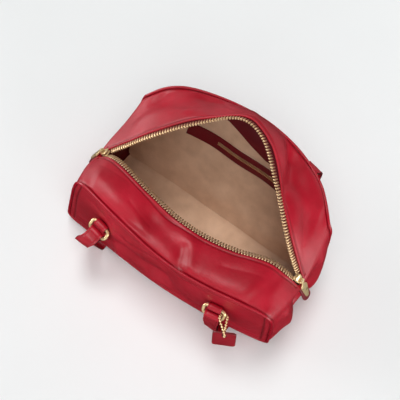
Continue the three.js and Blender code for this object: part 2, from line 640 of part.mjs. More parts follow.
const ends = {};
for (const row of HANDLE_ENDS) {
  const surface = surfaces[row.panel];
  const normal = normalAt(surface, row.u, row.v);
  const along = surface(row.u + STEP, row.v).sub(surface(row.u - STEP, row.v)).setZ(0).normalize();
  const level = along.projectOnPlane(normal).normalize();
  const handle = new THREE.Group();
  handle.quaternion.setFromRotationMatrix(
    new THREE.Matrix4().makeBasis(level, normal.clone().cross(level), normal),
  );
  handle.position.copy(surface(row.u, row.v)).addScaledVector(normal, LEATHER / 2);
  bag.add(handle);
  handle.updateMatrix();
  const direction = (degrees) => vector(0, Math.sin(radians(degrees)), Math.cos(radians(degrees)));
  const reachOut = direction(row.lift);
  addNode(`ring_tab_${row.name}`, ringTabGeometry(), leatherRed, handle);
  addNode(`ring_${row.name}`, ringGeometry(reachOut), brass, handle);
  const farSide = vector(0, LOOP_CENTRE.y, LOOP_CENTRE.z).addScaledVector(reachOut, RING.depth - RING.wire);
  ends[row.name] = {
    ...row, matrix: handle.matrix.clone(), reachOut, farSide,
    strapOut: direction(row.leave), ringOut: direction(row.lift + 90),
  };
}

// A strap: from one ring out and down, flat under the base, and up to the other ring.
// turn is the angle of its width about Z, in degrees, along each leg.
const STRAP_STEPS = 44;
const LOOP_EDGE = LOOP.bore + LOOP.leather / 2;
function strapLeg(end, out) {
  const { matrix, strapOut, farSide, name, reach, drift, belly, toe } = end;
  const past = (distance) => farSide.clone().addScaledVector(strapOut, distance).applyMatrix4(matrix);
  const root = past(LOOP_EDGE);
  const away = past(LOOP_EDGE + STRAP_BEND.ahead * reach);
  const bend = away.y + out * STRAP_BEND.beyond * reach;
  const hand = name.endsWith('left') ? 'left' : 'right';
  const inward = hand === 'left' ? 1 : -1;
  const foot = (out < 0 ? frontBase : backBase)(FEET[hand]).y;
  const along = (share) => root.x + share * drift;
  const flat = STRAP.thickness / 2;
  const level = vector(out < 0 ? 1 : -1, 0, 0).transformDirection(matrix);
  const turn = inward * out * THREE.MathUtils.radToDeg(Math.atan2(level.y, level.x));
  const { drop, fall, bendDrift, fallDrift } = STRAP_BEND;
  const { bellyHeight, toeHeight, heelOut, heelLift, flatOut } = STRAP_FALL;
  return [
    { point: root, turn },
    { point: away, turn },
    { point: vector(along(bendDrift), bend, away.z - drop), turn: turn / 2 },
    { point: vector(along(fallDrift), bend, away.z - fall), turn: 0 },
    { point: vector(along(1), foot + out * belly, root.z * bellyHeight), turn: 0 },
    { point: vector(along(1), foot + out * toe, toeHeight), turn: 0 },
    { point: vector(along(1), foot + out * heelOut, flat + heelLift), turn: 0 },
    { point: vector(along(1), foot + out * flatOut, flat), turn: 0 },
    ...STRAP_TUCK.map((row) => (
      { point: vector(along(1) + inward * row.along, foot - out * row.inside, flat), turn: row.turn }
    )),
  ];
}
for (const [side, out] of [['front', -1], ['back', 1]]) {
  const left = ends[`${side}_left`];
  const right = ends[`${side}_right`];
  const route = [
    ...strapLeg(left, out),
    ...strapLeg(right, out).reverse().map(({ point, turn }) => ({ point, turn: 180 - turn })),
  ];
  const curve = new THREE.CatmullRomCurve3(route.map(({ point }) => point));
  const last = route.length - 1;
  const surface = (u, v) => {
    const share = THREE.MathUtils.clamp(u, 0, 1);
    const row = Math.min(Math.floor(share * last), last - 1);
    const turn = THREE.MathUtils.lerp(route[row].turn, route[row + 1].turn, share * last - row);
    const angle = radians(turn * out);
    const point = curve.getPoint(share);
    point.z = Math.max(point.z, STRAP.thickness / 2);
    return point.addScaledVector(vector(Math.cos(angle), Math.sin(angle), 0), (v - 0.5) * STRAP.width);
  };
  const ribbon = wall(surface, STRAP.thickness, evenly([0, 1], STRAP_STEPS), () => [0, 1]);
  const loops = [left, right].map((end) => (
    strapLoopGeometry().translate(...end.farSide).applyMatrix4(end.matrix)
  ));
  addNode(`strap_${side}`, join([ribbon, ...loops]), leatherRed);
}

// The leather fob: a bare rounded tag with a hole near its upper edge. In its own frame x runs
// across it, y up it and z out of its face.
const fob = new THREE.Group();
fob.position.set(FOB_PLACE.x, FOB_PLACE.y, FOB_PLACE.z);
fob.rotation.set(radians(90 - FOB_PLACE.lean), 0, radians(FOB_PLACE.yaw), 'ZXY');
bag.add(fob);
fob.updateMatrix();
const tag = new THREE.Shape();
const tagHalf = FOB.width / 2 - FOB.corner;
const tagFoot = FOB.corner - FOB.height;
tag.absarc(tagHalf, -FOB.corner, FOB.corner, 0, Math.PI / 2);
tag.absarc(-tagHalf, -FOB.corner, FOB.corner, Math.PI / 2, Math.PI);
tag.absarc(-tagHalf, tagFoot, FOB.corner, Math.PI, 1.5 * Math.PI);
tag.absarc(tagHalf, tagFoot, FOB.corner, 1.5 * Math.PI, 2 * Math.PI);
tag.holes.push(new THREE.Path().absarc(0, -FOB.holeDrop, FOB.holeRadius, 0, 2 * Math.PI));
addNode('leather_fob', plate(tag, FOB.thickness, 4), edgeRed, fob);

// Its chain of beads: a closed loop over the end of the front right ring and through the fob's hole.
const carrier = ends.front_right;
const ringEnd = vector((RING.width - RING.wire) / 2, LOOP_CENTRE.y, LOOP_CENTRE.z)
  .addScaledVector(carrier.reachOut, (RING.depth - RING.wire) / 2);
const overRing = RING.wire / 2 + BEAD.radius + 0.4;
const throughFob = FOB.thickness / 2 + BEAD.radius + 0.8;
const aroundRing = CHAIN_ROUND_RING.map(({ across, out }) => (
  ringEnd.clone().addScaledVector(vector(1, 0, 0), across * overRing)
    .addScaledVector(carrier.ringOut, out * overRing).applyMatrix4(carrier.matrix)
));
const aroundFob = CHAIN_THROUGH_FOB.map(({ above, out }) => (
  vector(0, above - FOB.holeDrop, out * throughFob).applyMatrix4(fob.matrix)
));
const chainPath = new THREE.CatmullRomCurve3([...aroundRing, ...aroundFob], true);
const beadCount = Math.round(chainPath.getLength() / BEAD.pitch);
const beads = chainPath.getSpacedPoints(beadCount).slice(0, -1).map(({ x, y, z }) => (
  new THREE.SphereGeometry(BEAD.radius, 10, 4).translate(x, y, z)
));
const links = new THREE.TubeGeometry(chainPath, beadCount, BEAD.linkRadius, 5, true);
addNode('fob_chain', join([links, ...beads]), brass);

// The origin is the middle of the whole bag's foot.
const box = new THREE.Box3().setFromObject(bag, true);
const centre = box.getCenter(vector(0, 0, 0));
bag.position.set(-centre.x, -centre.y, -box.min.z);
const part = new THREE.Group();
part.add(bag);

export default part;
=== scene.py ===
# %% [markdown]
# # A red leather shoulder bag
#
# The bag stands with its zip run open, on straps that are tucked under its base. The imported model
# gives its size, its bodies and the place of every part. This script lays the looks on it: soft
# leather panels, piping, stitches, a zip with separate teeth, brass rings and a beaded chain.

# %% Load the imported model
import math

import bmesh
import bpy
import numpy as np
from mathutils import Matrix, Vector


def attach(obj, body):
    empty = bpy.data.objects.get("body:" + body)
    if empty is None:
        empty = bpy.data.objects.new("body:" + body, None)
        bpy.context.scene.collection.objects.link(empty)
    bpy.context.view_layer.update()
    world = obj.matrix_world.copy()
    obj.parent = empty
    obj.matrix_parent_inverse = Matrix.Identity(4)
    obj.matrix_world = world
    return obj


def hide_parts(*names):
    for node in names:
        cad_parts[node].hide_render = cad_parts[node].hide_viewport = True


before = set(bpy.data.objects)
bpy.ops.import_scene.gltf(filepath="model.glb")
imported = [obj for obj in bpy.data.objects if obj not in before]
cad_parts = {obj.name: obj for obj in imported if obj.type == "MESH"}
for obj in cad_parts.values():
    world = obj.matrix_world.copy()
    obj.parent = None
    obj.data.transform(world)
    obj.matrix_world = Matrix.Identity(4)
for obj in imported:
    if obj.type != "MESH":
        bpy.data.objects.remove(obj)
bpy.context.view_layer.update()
scene = bpy.context.scene

# %% [markdown]
# The bag is drawn in millimetres from the middle of its base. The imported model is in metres, with
# its origin under the middle of the whole box, straps and chain included. One shift joins the two.

# %% Millimetres to metres
MM = 0.001
SHIFT = np.array([4.6076, -14.4731, 0.0])


def to_frame(points):
    return (np.asarray(points, dtype=float) + SHIFT) * MM


def unit(vectors):
    vectors = np.asarray(vectors, dtype=float)
    return vectors / np.linalg.norm(vectors, axis=-1, keepdims=True)


def smooth(t):
    t = np.clip(t, 0, 1)
    return t * t * (3 - 2 * t)


print("the base's middle lies at", to_frame([0, 0, 0]))

# %% [markdown]
# ## Camera
#
# The camera looks steeply down on the bag from its right front. Its direction and distance were
# found by matching the piping, the zip and the outline. A constraint could keep it aimed at the bag.
# A rotation worked out once is simpler, and leaves other views free to move the camera.

# %% Camera
AZIMUTH, ELEVATION = math.radians(36), math.radians(70)
CAMERA_DISTANCE = 1.1
TARGET_HEIGHT = 100
SENSOR_WIDTH, LENS, SHIFT_UP = 36, 89.1, 0.055
camera_back = Vector((
    math.sin(AZIMUTH) * math.cos(ELEVATION),
    -math.cos(AZIMUTH) * math.cos(ELEVATION),
    math.sin(ELEVATION),
))
camera_target = Vector(to_frame([0, 0, TARGET_HEIGHT]))
camera_data = bpy.data.cameras.new("camera")
camera_data.sensor_width = SENSOR_WIDTH
camera_data.lens = LENS
camera_data.shift_y = SHIFT_UP
camera = bpy.data.objects.new("camera", camera_data)
camera.location = camera_target + camera_back * CAMERA_DISTANCE
camera.rotation_euler = camera_back.to_track_quat("Z", "Y").to_euler()
scene.collection.objects.link(camera)
scene.camera = camera
print("camera at", tuple(round(c, 3) for c in camera.location))

# %% [markdown]
# ## Light and floor
#
# The finishes and the sky are graphs of nodes. They could be drawn by hand in the shader editor.
# Small helpers build them here, so that each finish further down is only a few lines long.

# %% Helpers for node graphs
def new_material(name):
    material = bpy.data.materials.new(name)
    material.use_nodes = True
    nodes, links = material.node_tree.nodes, material.node_tree.links
    shader = nodes["Principled BSDF"]
    return material, nodes, links, shader


def add_node(nodes, kind, **settings):
    node = nodes.new(kind)
    for key, value in settings.items():
        if key in node.inputs:
            node.inputs[key].default_value = value
        else:
            setattr(node, key, value)
    return node


def two_tones(nodes, links, factor, dark, light, low=0.3, high=0.7):
    ramp = nodes.new("ShaderNodeValToRGB")
    ramp.color_ramp.elements[0].position = low
    ramp.color_ramp.elements[0].color = (*dark, 1)
    ramp.color_ramp.elements[1].position = high
    ramp.color_ramp.elements[1].color = (*light, 1)
    links.new(factor, ramp.inputs["Fac"])
    return ramp.outputs["Color"]


def between(nodes, links, factor, low, high):
    span = add_node(nodes, "ShaderNodeMapRange")
    span.inputs["To Min"].default_value = low
    span.inputs["To Max"].default_value = high
    links.new(factor, span.inputs["Value"])
    return span.outputs["Result"]


print("helpers for node graphs ready")

# %% [markdown]
# The sky stands in for the walls of a studio. A picture of a room could do the same, but four grey
# tones from below the horizon to overhead are enough, and they light every side alike. The dark tone
# overhead keeps flat leather deep red, and the pale band lower down shines on rounded edges.

# %% Sky
scene.view_settings.view_transform = "Standard"
SKY = [(0.2, 0.0), (0.36, 0.5), (0.6, 0.42), (0.78, 0.1)]
world = bpy.data.worlds.new("studio")
world.use_nodes = True
nodes, links = world.node_tree.nodes, world.node_tree.links
direction = nodes.new("ShaderNodeTexCoord")
upward = nodes.new("ShaderNodeSeparateXYZ")
height = add_node(nodes, "ShaderNodeMapRange")
height.inputs["From Min"].default_value = -1.0
sky = nodes.new("ShaderNodeValToRGB")
for _ in SKY[2:]:
    sky.color_ramp.elements.new(0.5)
for stop, (at, strength) in zip(sky.color_ramp.elements, SKY):
    stop.position, stop.color = at, (strength, strength, strength, 1)
links.new(direction.outputs["Generated"], upward.inputs["Vector"])
links.new(upward.outputs["Z"], height.inputs["Value"])
links.new(height.outputs["Result"], sky.inputs["Fac"])
links.new(sky.outputs["Color"], nodes["Background"].inputs["Color"])
scene.world = world
print("the sky has", len(SKY), "tones")

# %% [markdown]
# Lamps close by would be soft too, but their light falls off with distance. Sun lamps with a wide
# angle light the whole bag evenly. The key light hangs overhead, and the fill light stands at the
# camera, where its shadows stay out of sight. Both are left out of reflections: mirrored in the
# leather they would wash out its red. Three low lights lift the front and the two ends. The last
# three give shine alone, and draw the bright lines along folds and rounded edges.

# %% Lights
def soft_light(name, toward, energy, angle, shines=True, fills=True):
    data = bpy.data.lights.new(name, "SUN")
    data.energy = energy
    data.angle = math.radians(angle)
    lamp = bpy.data.objects.new(name, data)
    lamp.rotation_euler = Vector(toward).to_track_quat("Z", "Y").to_euler()
    lamp.visible_glossy = shines
    lamp.visible_diffuse = fills
    scene.collection.objects.link(lamp)
    return lamp


LIGHTS = [
    soft_light("key_light", (-0.1, 0.15, 0.98), 1.25, 20, shines=False),
    soft_light("fill_light", camera_back, 1.1, 40, shines=False),
    soft_light("front_light", (0.45, -0.82, 0.34), 0.5, 60),
    soft_light("left_light", (-0.95, -0.3, 0.08), 1.6, 30),
    soft_light("right_light", (0.92, -0.38, 0.1), 1.2, 30),
    soft_light("top_sheen", (-0.5, -0.1, 0.86), 1.6, 36, fills=False),
    soft_light("left_sheen", (-0.97, 0.15, 0.07), 0.4, 24, fills=False),
    soft_light("right_sheen", (0.96, 0.1, 0.08), 0.9, 24, fills=False),
]
print("lights:", *[lamp.name for lamp in LIGHTS])

# %% [markdown]
# The floor is a plain pale sheet, wide enough to fill every view. It is left out of reflections,
# because a mirrored white floor would turn the red leather grey. As a stage it is no part of the bag.

# %% Floor
FLOOR_HALF = 12.0
floor_material, nodes, links, shader = new_material("pale_floor")
coords = nodes.new("ShaderNodeTexCoord")
cloud = add_node(nodes, "ShaderNodeTexNoise", Scale=3.0, Detail=2.0)
links.new(coords.outputs["Object"], cloud.inputs["Vector"])
links.new(two_tones(nodes, links, cloud.outputs["Fac"], (0.85, 0.87, 0.87), (0.88, 0.9, 0.9)),
          shader.inputs["Base Color"])
shader.inputs["Roughness"].default_value = 0.8
shader.inputs["Specular IOR Level"].default_value = 0.2
bm = bmesh.new()
bmesh.ops.create_grid(bm, x_segments=4, y_segments=4, size=FLOOR_HALF)
floor_mesh = bpy.data.meshes.new("floor")
bm.to_mesh(floor_mesh)
bm.free()
floor_mesh.materials.append(floor_material)
floor = bpy.data.objects.new("floor", floor_mesh)
scene.collection.objects.link(floor)
floor.visible_glossy = False
print("a floor", 2 * FLOOR_HALF, "m wide")

# %% [markdown]
# ## Finishes
#
# The bag is smooth nappa leather, with a soft shine, a very fine pebble and slow changes of tone. A
# photographed texture would show where it repeats. Noise on Object coordinates runs on from panel to
# panel, so it has no join. Along seams and stitch rows a vertex attribute darkens the tone: this is
# painted shade, standing in for the shadow in their grooves. Painted edges, the matt flesh side and
# the thread are the same graph with other numbers.

# %% Leather
# Painted shade: the tone the leather is darkened towards along seams and stitch rows.
PAINTED_SHADE_TINT = (0.35, 0.2, 0.2, 1)


def leather(name, dark, light, rough=(0.36, 0.5), pebble=0.35, coat=0.0):
    material, nodes, links, shader = new_material(name)
    coords = nodes.new("ShaderNodeTexCoord")
    tone = add_node(nodes, "ShaderNodeTexNoise", Scale=24.0, Detail=5.0, Roughness=0.6)
    grain = add_node(nodes, "ShaderNodeTexVoronoi", Scale=1400.0)
    crease = add_node(nodes, "ShaderNodeTexNoise", Scale=130.0, Detail=6.0, Roughness=0.62)
    for texture in (tone, grain, crease):
        links.new(coords.outputs["Object"], texture.inputs["Vector"])
    # Painted shade: the seam attribute darkens the base colour along seams and stitch rows, for the shadow
    # in their grooves.
    seam = add_node(nodes, "ShaderNodeAttribute", attribute_name="painted_seam_shade")
    shaded = nodes.new("ShaderNodeMix")
    shaded.data_type, shaded.blend_type = "RGBA", "MULTIPLY"
    links.new(seam.outputs["Fac"], shaded.inputs["Factor"])
    links.new(two_tones(nodes, links, tone.outputs["Fac"], dark, light), shaded.inputs["A"])
    shaded.inputs["B"].default_value = PAINTED_SHADE_TINT
    links.new(shaded.outputs["Result"], shader.inputs["Base Color"])
    links.new(between(nodes, links, crease.outputs["Fac"], *rough), shader.inputs["Roughness"])
    fine = add_node(nodes, "ShaderNodeBump", Strength=pebble, Distance=0.0001)
    broad = add_node(nodes, "ShaderNodeBump", Strength=pebble, Distance=0.0009)
    links.new(grain.outputs["Distance"], fine.inputs["Height"])
    links.new(crease.outputs["Fac"], broad.inputs["Height"])
    links.new(fine.outputs["Normal"], broad.inputs["Normal"])
    links.new(broad.outputs["Normal"], shader.inputs["Normal"])
    shader.inputs["Specular IOR Level"].default_value = 0.5
    shader.inputs["Coat Weight"].default_value = coat
    shader.inputs["Coat Roughness"].default_value = 0.3
    return material


red_leather = leather("red_leather", (0.34, 0.002, 0.012), (0.49, 0.006, 0.024))
piping_leather = leather("piping_leather", (0.34, 0.003, 0.014), (0.44, 0.005, 0.021), (0.24, 0.34), 0.2)
flesh_side = leather("flesh_side", (0.12, 0.004, 0.008), (0.17, 0.008, 0.012), (0.75, 0.9), 0.6, 0.0)
edge_paint = leather("edge_paint", (0.10, 0.004, 0.007), (0.15, 0.007, 0.010), (0.3, 0.42), 0.15, 0.2)
tab_leather = leather("tab_leather", (0.14, 0.004, 0.010), (0.20, 0.006, 0.015))
fob_leather = leather("fob_leather", (0.27, 0.003, 0.011), (0.34, 0.004, 0.015))
red_thread = leather("red_thread", (0.24, 0.003, 0.010), (0.33, 0.006, 0.016), (0.5, 0.6), 0.2)
LEATHERS = (red_leather, piping_leather, flesh_side, edge_paint, tab_leather, fob_leather, red_thread)
print("leathers:", *[material.name for material in LEATHERS])

# %% [markdown]
# The zip's tape and the lining are woven. Single threads could be modelled, but at this size a wave
# texture does. It reads the piece's own flat map, so that the ribs follow the cloth where it bends,
# and a little bump lets each rib catch the light.

# %% Woven cloth
RIB_WEIGHT = 0.35


def woven(name, dark, light, threads, angle):
    material, nodes, links, shader = new_material(name)
    coords = nodes.new("ShaderNodeTexCoord")
    turn = nodes.new("ShaderNodeMapping")
    turn.inputs["Rotation"].default_value = (0, 0, math.radians(angle))
    ribs = add_node(nodes, "ShaderNodeTexWave", Scale=threads, Distortion=0.6, Detail=2.0)
    tone = add_node(nodes, "ShaderNodeTexNoise", Scale=60.0, Detail=5.0)
    links.new(coords.outputs["UV"], turn.inputs["Vector"])
    links.new(turn.outputs["Vector"], ribs.inputs["Vector"])
    links.new(coords.outputs["Object"], tone.inputs["Vector"])
    mixed = add_node(nodes, "ShaderNodeMath", operation="MULTIPLY_ADD")
    mixed.inputs[1].default_value = RIB_WEIGHT
    links.new(ribs.outputs["Fac"], mixed.inputs[0])
    links.new(tone.outputs["Fac"], mixed.inputs[2])
    links.new(two_tones(nodes, links, mixed.outputs[0], dark, light, 0.35, 0.95),
              shader.inputs["Base Color"])
    bump = add_node(nodes, "ShaderNodeBump", Strength=0.5, Distance=0.0002)
    links.new(ribs.outputs["Fac"], bump.inputs["Height"])
    links.new(bump.outputs["Normal"], shader.inputs["Normal"])
    shader.inputs["Roughness"].default_value = 0.85
    return material


zip_tape = woven("zip_tape", (0.085, 0.004, 0.008), (0.15, 0.008, 0.013), 420.0, 90)
lining_cloth = woven("lining_cloth", (0.70, 0.43, 0.27), (0.93, 0.63, 0.43), 330.0, 35)
print("cloths:", zip_tape.name, lining_cloth.name)

# %% [markdown]
# The metal is brass with a little tarnish. Fully metallic, it would mirror mostly the dark parts of
# the sky. A share of plain colour keeps it golden from every side.

# %% Brass
def metal(name, dark, light, rough, metallic):
    material, nodes, links, shader = new_material(name)
    coords = nodes.new("ShaderNodeTexCoord")
    tarnish = add_node(nodes, "ShaderNodeTexNoise", Scale=180.0, Detail=4.0)
    links.new(coords.outputs["Object"], tarnish.inputs["Vector"])
    links.new(two_tones(nodes, links, tarnish.outputs["Fac"], dark, light), shader.inputs["Base Color"])
    links.new(between(nodes, links, tarnish.outputs["Fac"], *rough), shader.inputs["Roughness"])
    shader.inputs["Metallic"].default_value = metallic
    return material


brass = metal("brass", (0.78, 0.58, 0.28), (0.97, 0.77, 0.44), (0.22, 0.36), 0.65)
tooth_brass = metal("tooth_brass", (0.70, 0.46, 0.24), (0.84, 0.60, 0.36), (0.28, 0.42), 0.75)
print("metals:", brass.name, tooth_brass.name)

# %% [markdown]
# ## The shape of the bag
#
# The real bag is soft, and no two of its sections are alike. It could be sculpted, but then each
# panel would have to be matched to the next by eye. Here ten cross-sections along the bag give its
# base, its piped rims and its two rows of teeth. Panels that meet share an edge, so the seams close.

# %% Cross-sections
CORNER_RADIUS = 14.0
CORNER_START = CORNER_RADIUS * (1 - math.sqrt(0.5))
ZIP_HALF_GAP = 2.0
CREASE_BOW = 4.0
LEATHER = 1.6
LINES = {
    "front_base": (-155, 130), "back_base": (-148, 131),
    "front_rim": (-127, 134), "back_rim": (-134, 128), "zip": (-132, 132),
}
SECTION_COLUMNS = (
    "at", "base_fy", "base_by", "seam", "rim_fy", "rim_fz", "zip_fy", "zip_fz", "zip_by", "zip_bz",
    "rim_by", "rim_bz",
)
SECTIONS = np.array([
    (0, -57, 50, 3, -53, 150, -5, 121, -5, 121, 78, 150),
    (0.06, -58, 50, 4.6, -55, 150, -3.5, 139, 6, 140, 93, 151),
    (0.15, -59.5, 50, 5.2, -59, 150, -7, 148, 26, 161, 105, 152),
    (0.3, -62, 50, 5.2, -65, 148, -15, 147, 62, 183, 115.5, 153),
    (0.45, -63.5, 49, 5.2, -69.5, 146, -20, 144, 89, 199, 121, 153),
    (0.58, -62.5, 49, 5.2, -70.5, 146, -20, 144, 84, 198, 120, 153),
    (0.72, -59.5, 48, 5.2, -67.5, 147, -14, 146, 55, 185, 113, 151),
    (0.86, -54.5, 48, 5.2, -62, 149, -3, 148, 22, 166, 97, 149),
    (0.94, -50.5, 47, 4.6, -59, 149, -1, 140, 8, 142, 81, 148),
    (1, -47, 47, 3, -57, 149, 1, 121, 1, 121, 66, 147),
])


def section(key, u):
    at, values = SECTIONS[:, 0], SECTIONS[:, SECTION_COLUMNS.index(key)]
    wide_at = np.concatenate([at[:1], at, at[-1:]])
    wide = np.concatenate([values[:1], values, values[-1:]])
    slope = (wide[2:] - wide[:-2]) / (wide_at[2:] - wide_at[:-2])
    row = np.clip(np.searchsorted(at, u, side="left") - 1, 0, len(at) - 2)
    span = at[row + 1] - at[row]
    t = (u - at[row]) / span
    rise = (3 - 2 * t) * t * t
    leave = t * (1 - t) ** 2 * span * slope[row]
    arrive = t * t * (t - 1) * span * slope[row + 1]
    return values[row] * (1 - rise) + values[row + 1] * rise + leave + arrive


print("the rim's height at mid length:", section("rim_fz", np.array([0.5])), "mm")

# %% [markdown]
# Edges run along the bag, up its corners and over its soft creases. Each is a function that turns
# numbers from 0 to 1 into points. The corners of the front and the back panel are rounded.

# %% Edges of the panels
def corner_cut(distance):
    left = np.maximum(CORNER_RADIUS - distance, 0)
    return CORNER_RADIUS - np.sqrt(np.maximum(CORNER_RADIUS**2 - left**2, 0))


def along_line(name, y_key, z_key, bend):
    left, right = LINES[name]
    span = right - left - 2 * CORNER_START

    def line(u):
        nearest = np.maximum(np.minimum(u, 1 - u), 0) * span + CORNER_START
        height = section(z_key, u) + bend * corner_cut(nearest)
        return np.stack([left + CORNER_START + span * u, section(y_key, u), height], axis=-1)
    return line


def zip_line(y_key, z_key, side):
    left, right = LINES["zip"]

    def line(u):
        y = section(y_key, u) + side * ZIP_HALF_GAP
        return np.stack([left + (right - left) * u, y, section(z_key, u)], axis=-1)
    return line


def at_end(line, end):
    return line(np.array([float(end)]))[0]


def upright(base, rim, end):
    low, high = at_end(base, end), at_end(rim, end)
    height = high[2] - low[2]
    outward = -1 if end == 0 else 1

    def line(v):
        point = low + (high - low) * v[:, None]
        cut = corner_cut(v * height + CORNER_START) + corner_cut((1 - v) * height + CORNER_START)
        point[:, 0] += outward * (CORNER_START - cut)
        return point
    return line


def crease(rim, zip_edge, end):
    start, stop = at_end(rim, end), at_end(zip_edge, end)

    def line(t):
        point = start + (stop - start) * t[:, None]
        point[:, 2] += CREASE_BOW * 4 * t * (1 - t)
        return point
    return line


def straight(start, end):
    return lambda t: start + (end - start) * t[:, None]


def backwards(line):
    return lambda t: line(1 - t)


def side_top(first, second):
    return lambda t: np.where((t < 0.5)[:, None], first(2 * t), second(2 - 2 * t))


front_base = along_line("front_base", "base_fy", "seam", 1)
back_base = along_line("back_base", "base_by", "seam", 1)
front_rim = along_line("front_rim", "rim_fy", "rim_fz", -1)
back_rim = along_line("back_rim", "rim_by", "rim_bz", -1)
front_zip = zip_line("zip_fy", "zip_fz", -1)
back_zip = zip_line("zip_by", "zip_bz", 1)
front_sides = [upright(front_base, front_rim, end) for end in (0, 1)]
back_sides = [upright(back_base, back_rim, end) for end in (0, 1)]
front_creases = [crease(front_rim, front_zip, end) for end in (0, 1)]
back_creases = [crease(back_rim, back_zip, end) for end in (0, 1)]
base_ends = [straight(at_end(back_base, end), at_end(front_base, end)) for end in (0, 1)]
print("zip runs from", at_end(front_zip, 0), "to", at_end(front_zip, 1))

# %% [markdown]
# Each panel is a sheet that hangs from its four edges: it blends the two pairs of edges over the
# panel. It could be a loft through more curves, but this needs no points inside, and its swell and
# folds are laid on it afterwards.

# %% Panels spanned by their edges
OUTLINES = {
    "front_panel": (front_base, front_rim, *front_sides),
    "back_panel": (backwards(back_base), backwards(back_rim), back_sides[1], back_sides[0]),
    "top_front": (front_rim, front_zip, *front_creases),
    "top_back": (backwards(back_rim), backwards(back_zip), back_creases[1], back_creases[0]),
    "side_right": (backwards(base_ends[1]), side_top(front_creases[1], back_creases[1]),
                   front_sides[1], back_sides[1]),
    "side_left": (base_ends[0], side_top(back_creases[0], front_creases[0]),
                  back_sides[0], front_sides[0]),
    "base": (back_base, front_base, *base_ends),
}
STEP = 1e-3


def spanned_sheet(bottom, top, left, right):
    corners = [at_end(bottom, 0), at_end(bottom, 1), at_end(top, 0), at_end(top, 1)]

    def surface(u, v):
        a, b = u[:, None], v[:, None]
        spanned = bottom(u) * (1 - b) + top(u) * b + left(v) * (1 - a) + right(v) * a
        low = corners[0] * (1 - a) + corners[1] * a
        high = corners[2] * (1 - a) + corners[3] * a
        return spanned - low * (1 - b) - high * b
    return surface


def normal_at(surface, u, v):
    across = surface(u + STEP, v) - surface(u - STEP, v)
    upward = surface(u, v + STEP) - surface(u, v - STEP)
    return unit(np.cross(across, upward))


plain = {panel: spanned_sheet(*outline) for panel, outline in OUTLINES.items()}
print(len(plain), "panels spanned")

# %% [markdown]
# Leather that has been used keeps its folds. A cloth simulation makes folds too, but not these: each
# row of the tables is one fold of the bag, from a point of a panel to another, with its width and
# its height in millimetres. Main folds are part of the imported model. The fine ones are looks alone:
# puckers at the seams, small creases where the leather has been bent, and slow waves.

# %% Main folds
# Each panel's length, height and swell
PANELS = {
    "front_panel": (265, 152, 6), "back_panel": (270, 156, 5), "top_front": (262, 52, 3),
    "top_back": (285, 62, 3), "side_left": (118, 135, 2), "side_right": (110, 130, 11),
    "base": (278, 98, 0),
}
EDGE_FADE = 0.2
# Panel, first point, last point, width, height
FOLDS = [
    ("side_left", 0.5, 1, 0.5, 0.1, 17, -15), ("side_right", 0.5, 1, 0.55, 0.1, 17, -19),
    ("top_front", 0.3, 0.1, 0.42, 0.9, 16, -5), ("top_front", 0.62, 0.05, 0.56, 0.6, 8, 3),
    ("top_back", 0.3, 0.05, 0.22, 0.85, 13, -7), ("top_back", 0.75, 0.1, 0.62, 0.7, 15, -5),
    ("front_panel", 0.25, 0.1, 0.32, 0.85, 16, 3), ("front_panel", 0.55, 0.1, 0.5, 0.8, 22, -4),
    ("back_panel", 0.5, 0.15, 0.5, 0.85, 30, -4),
]
print(len(FOLDS), "main folds on", len(PANELS), "panels")

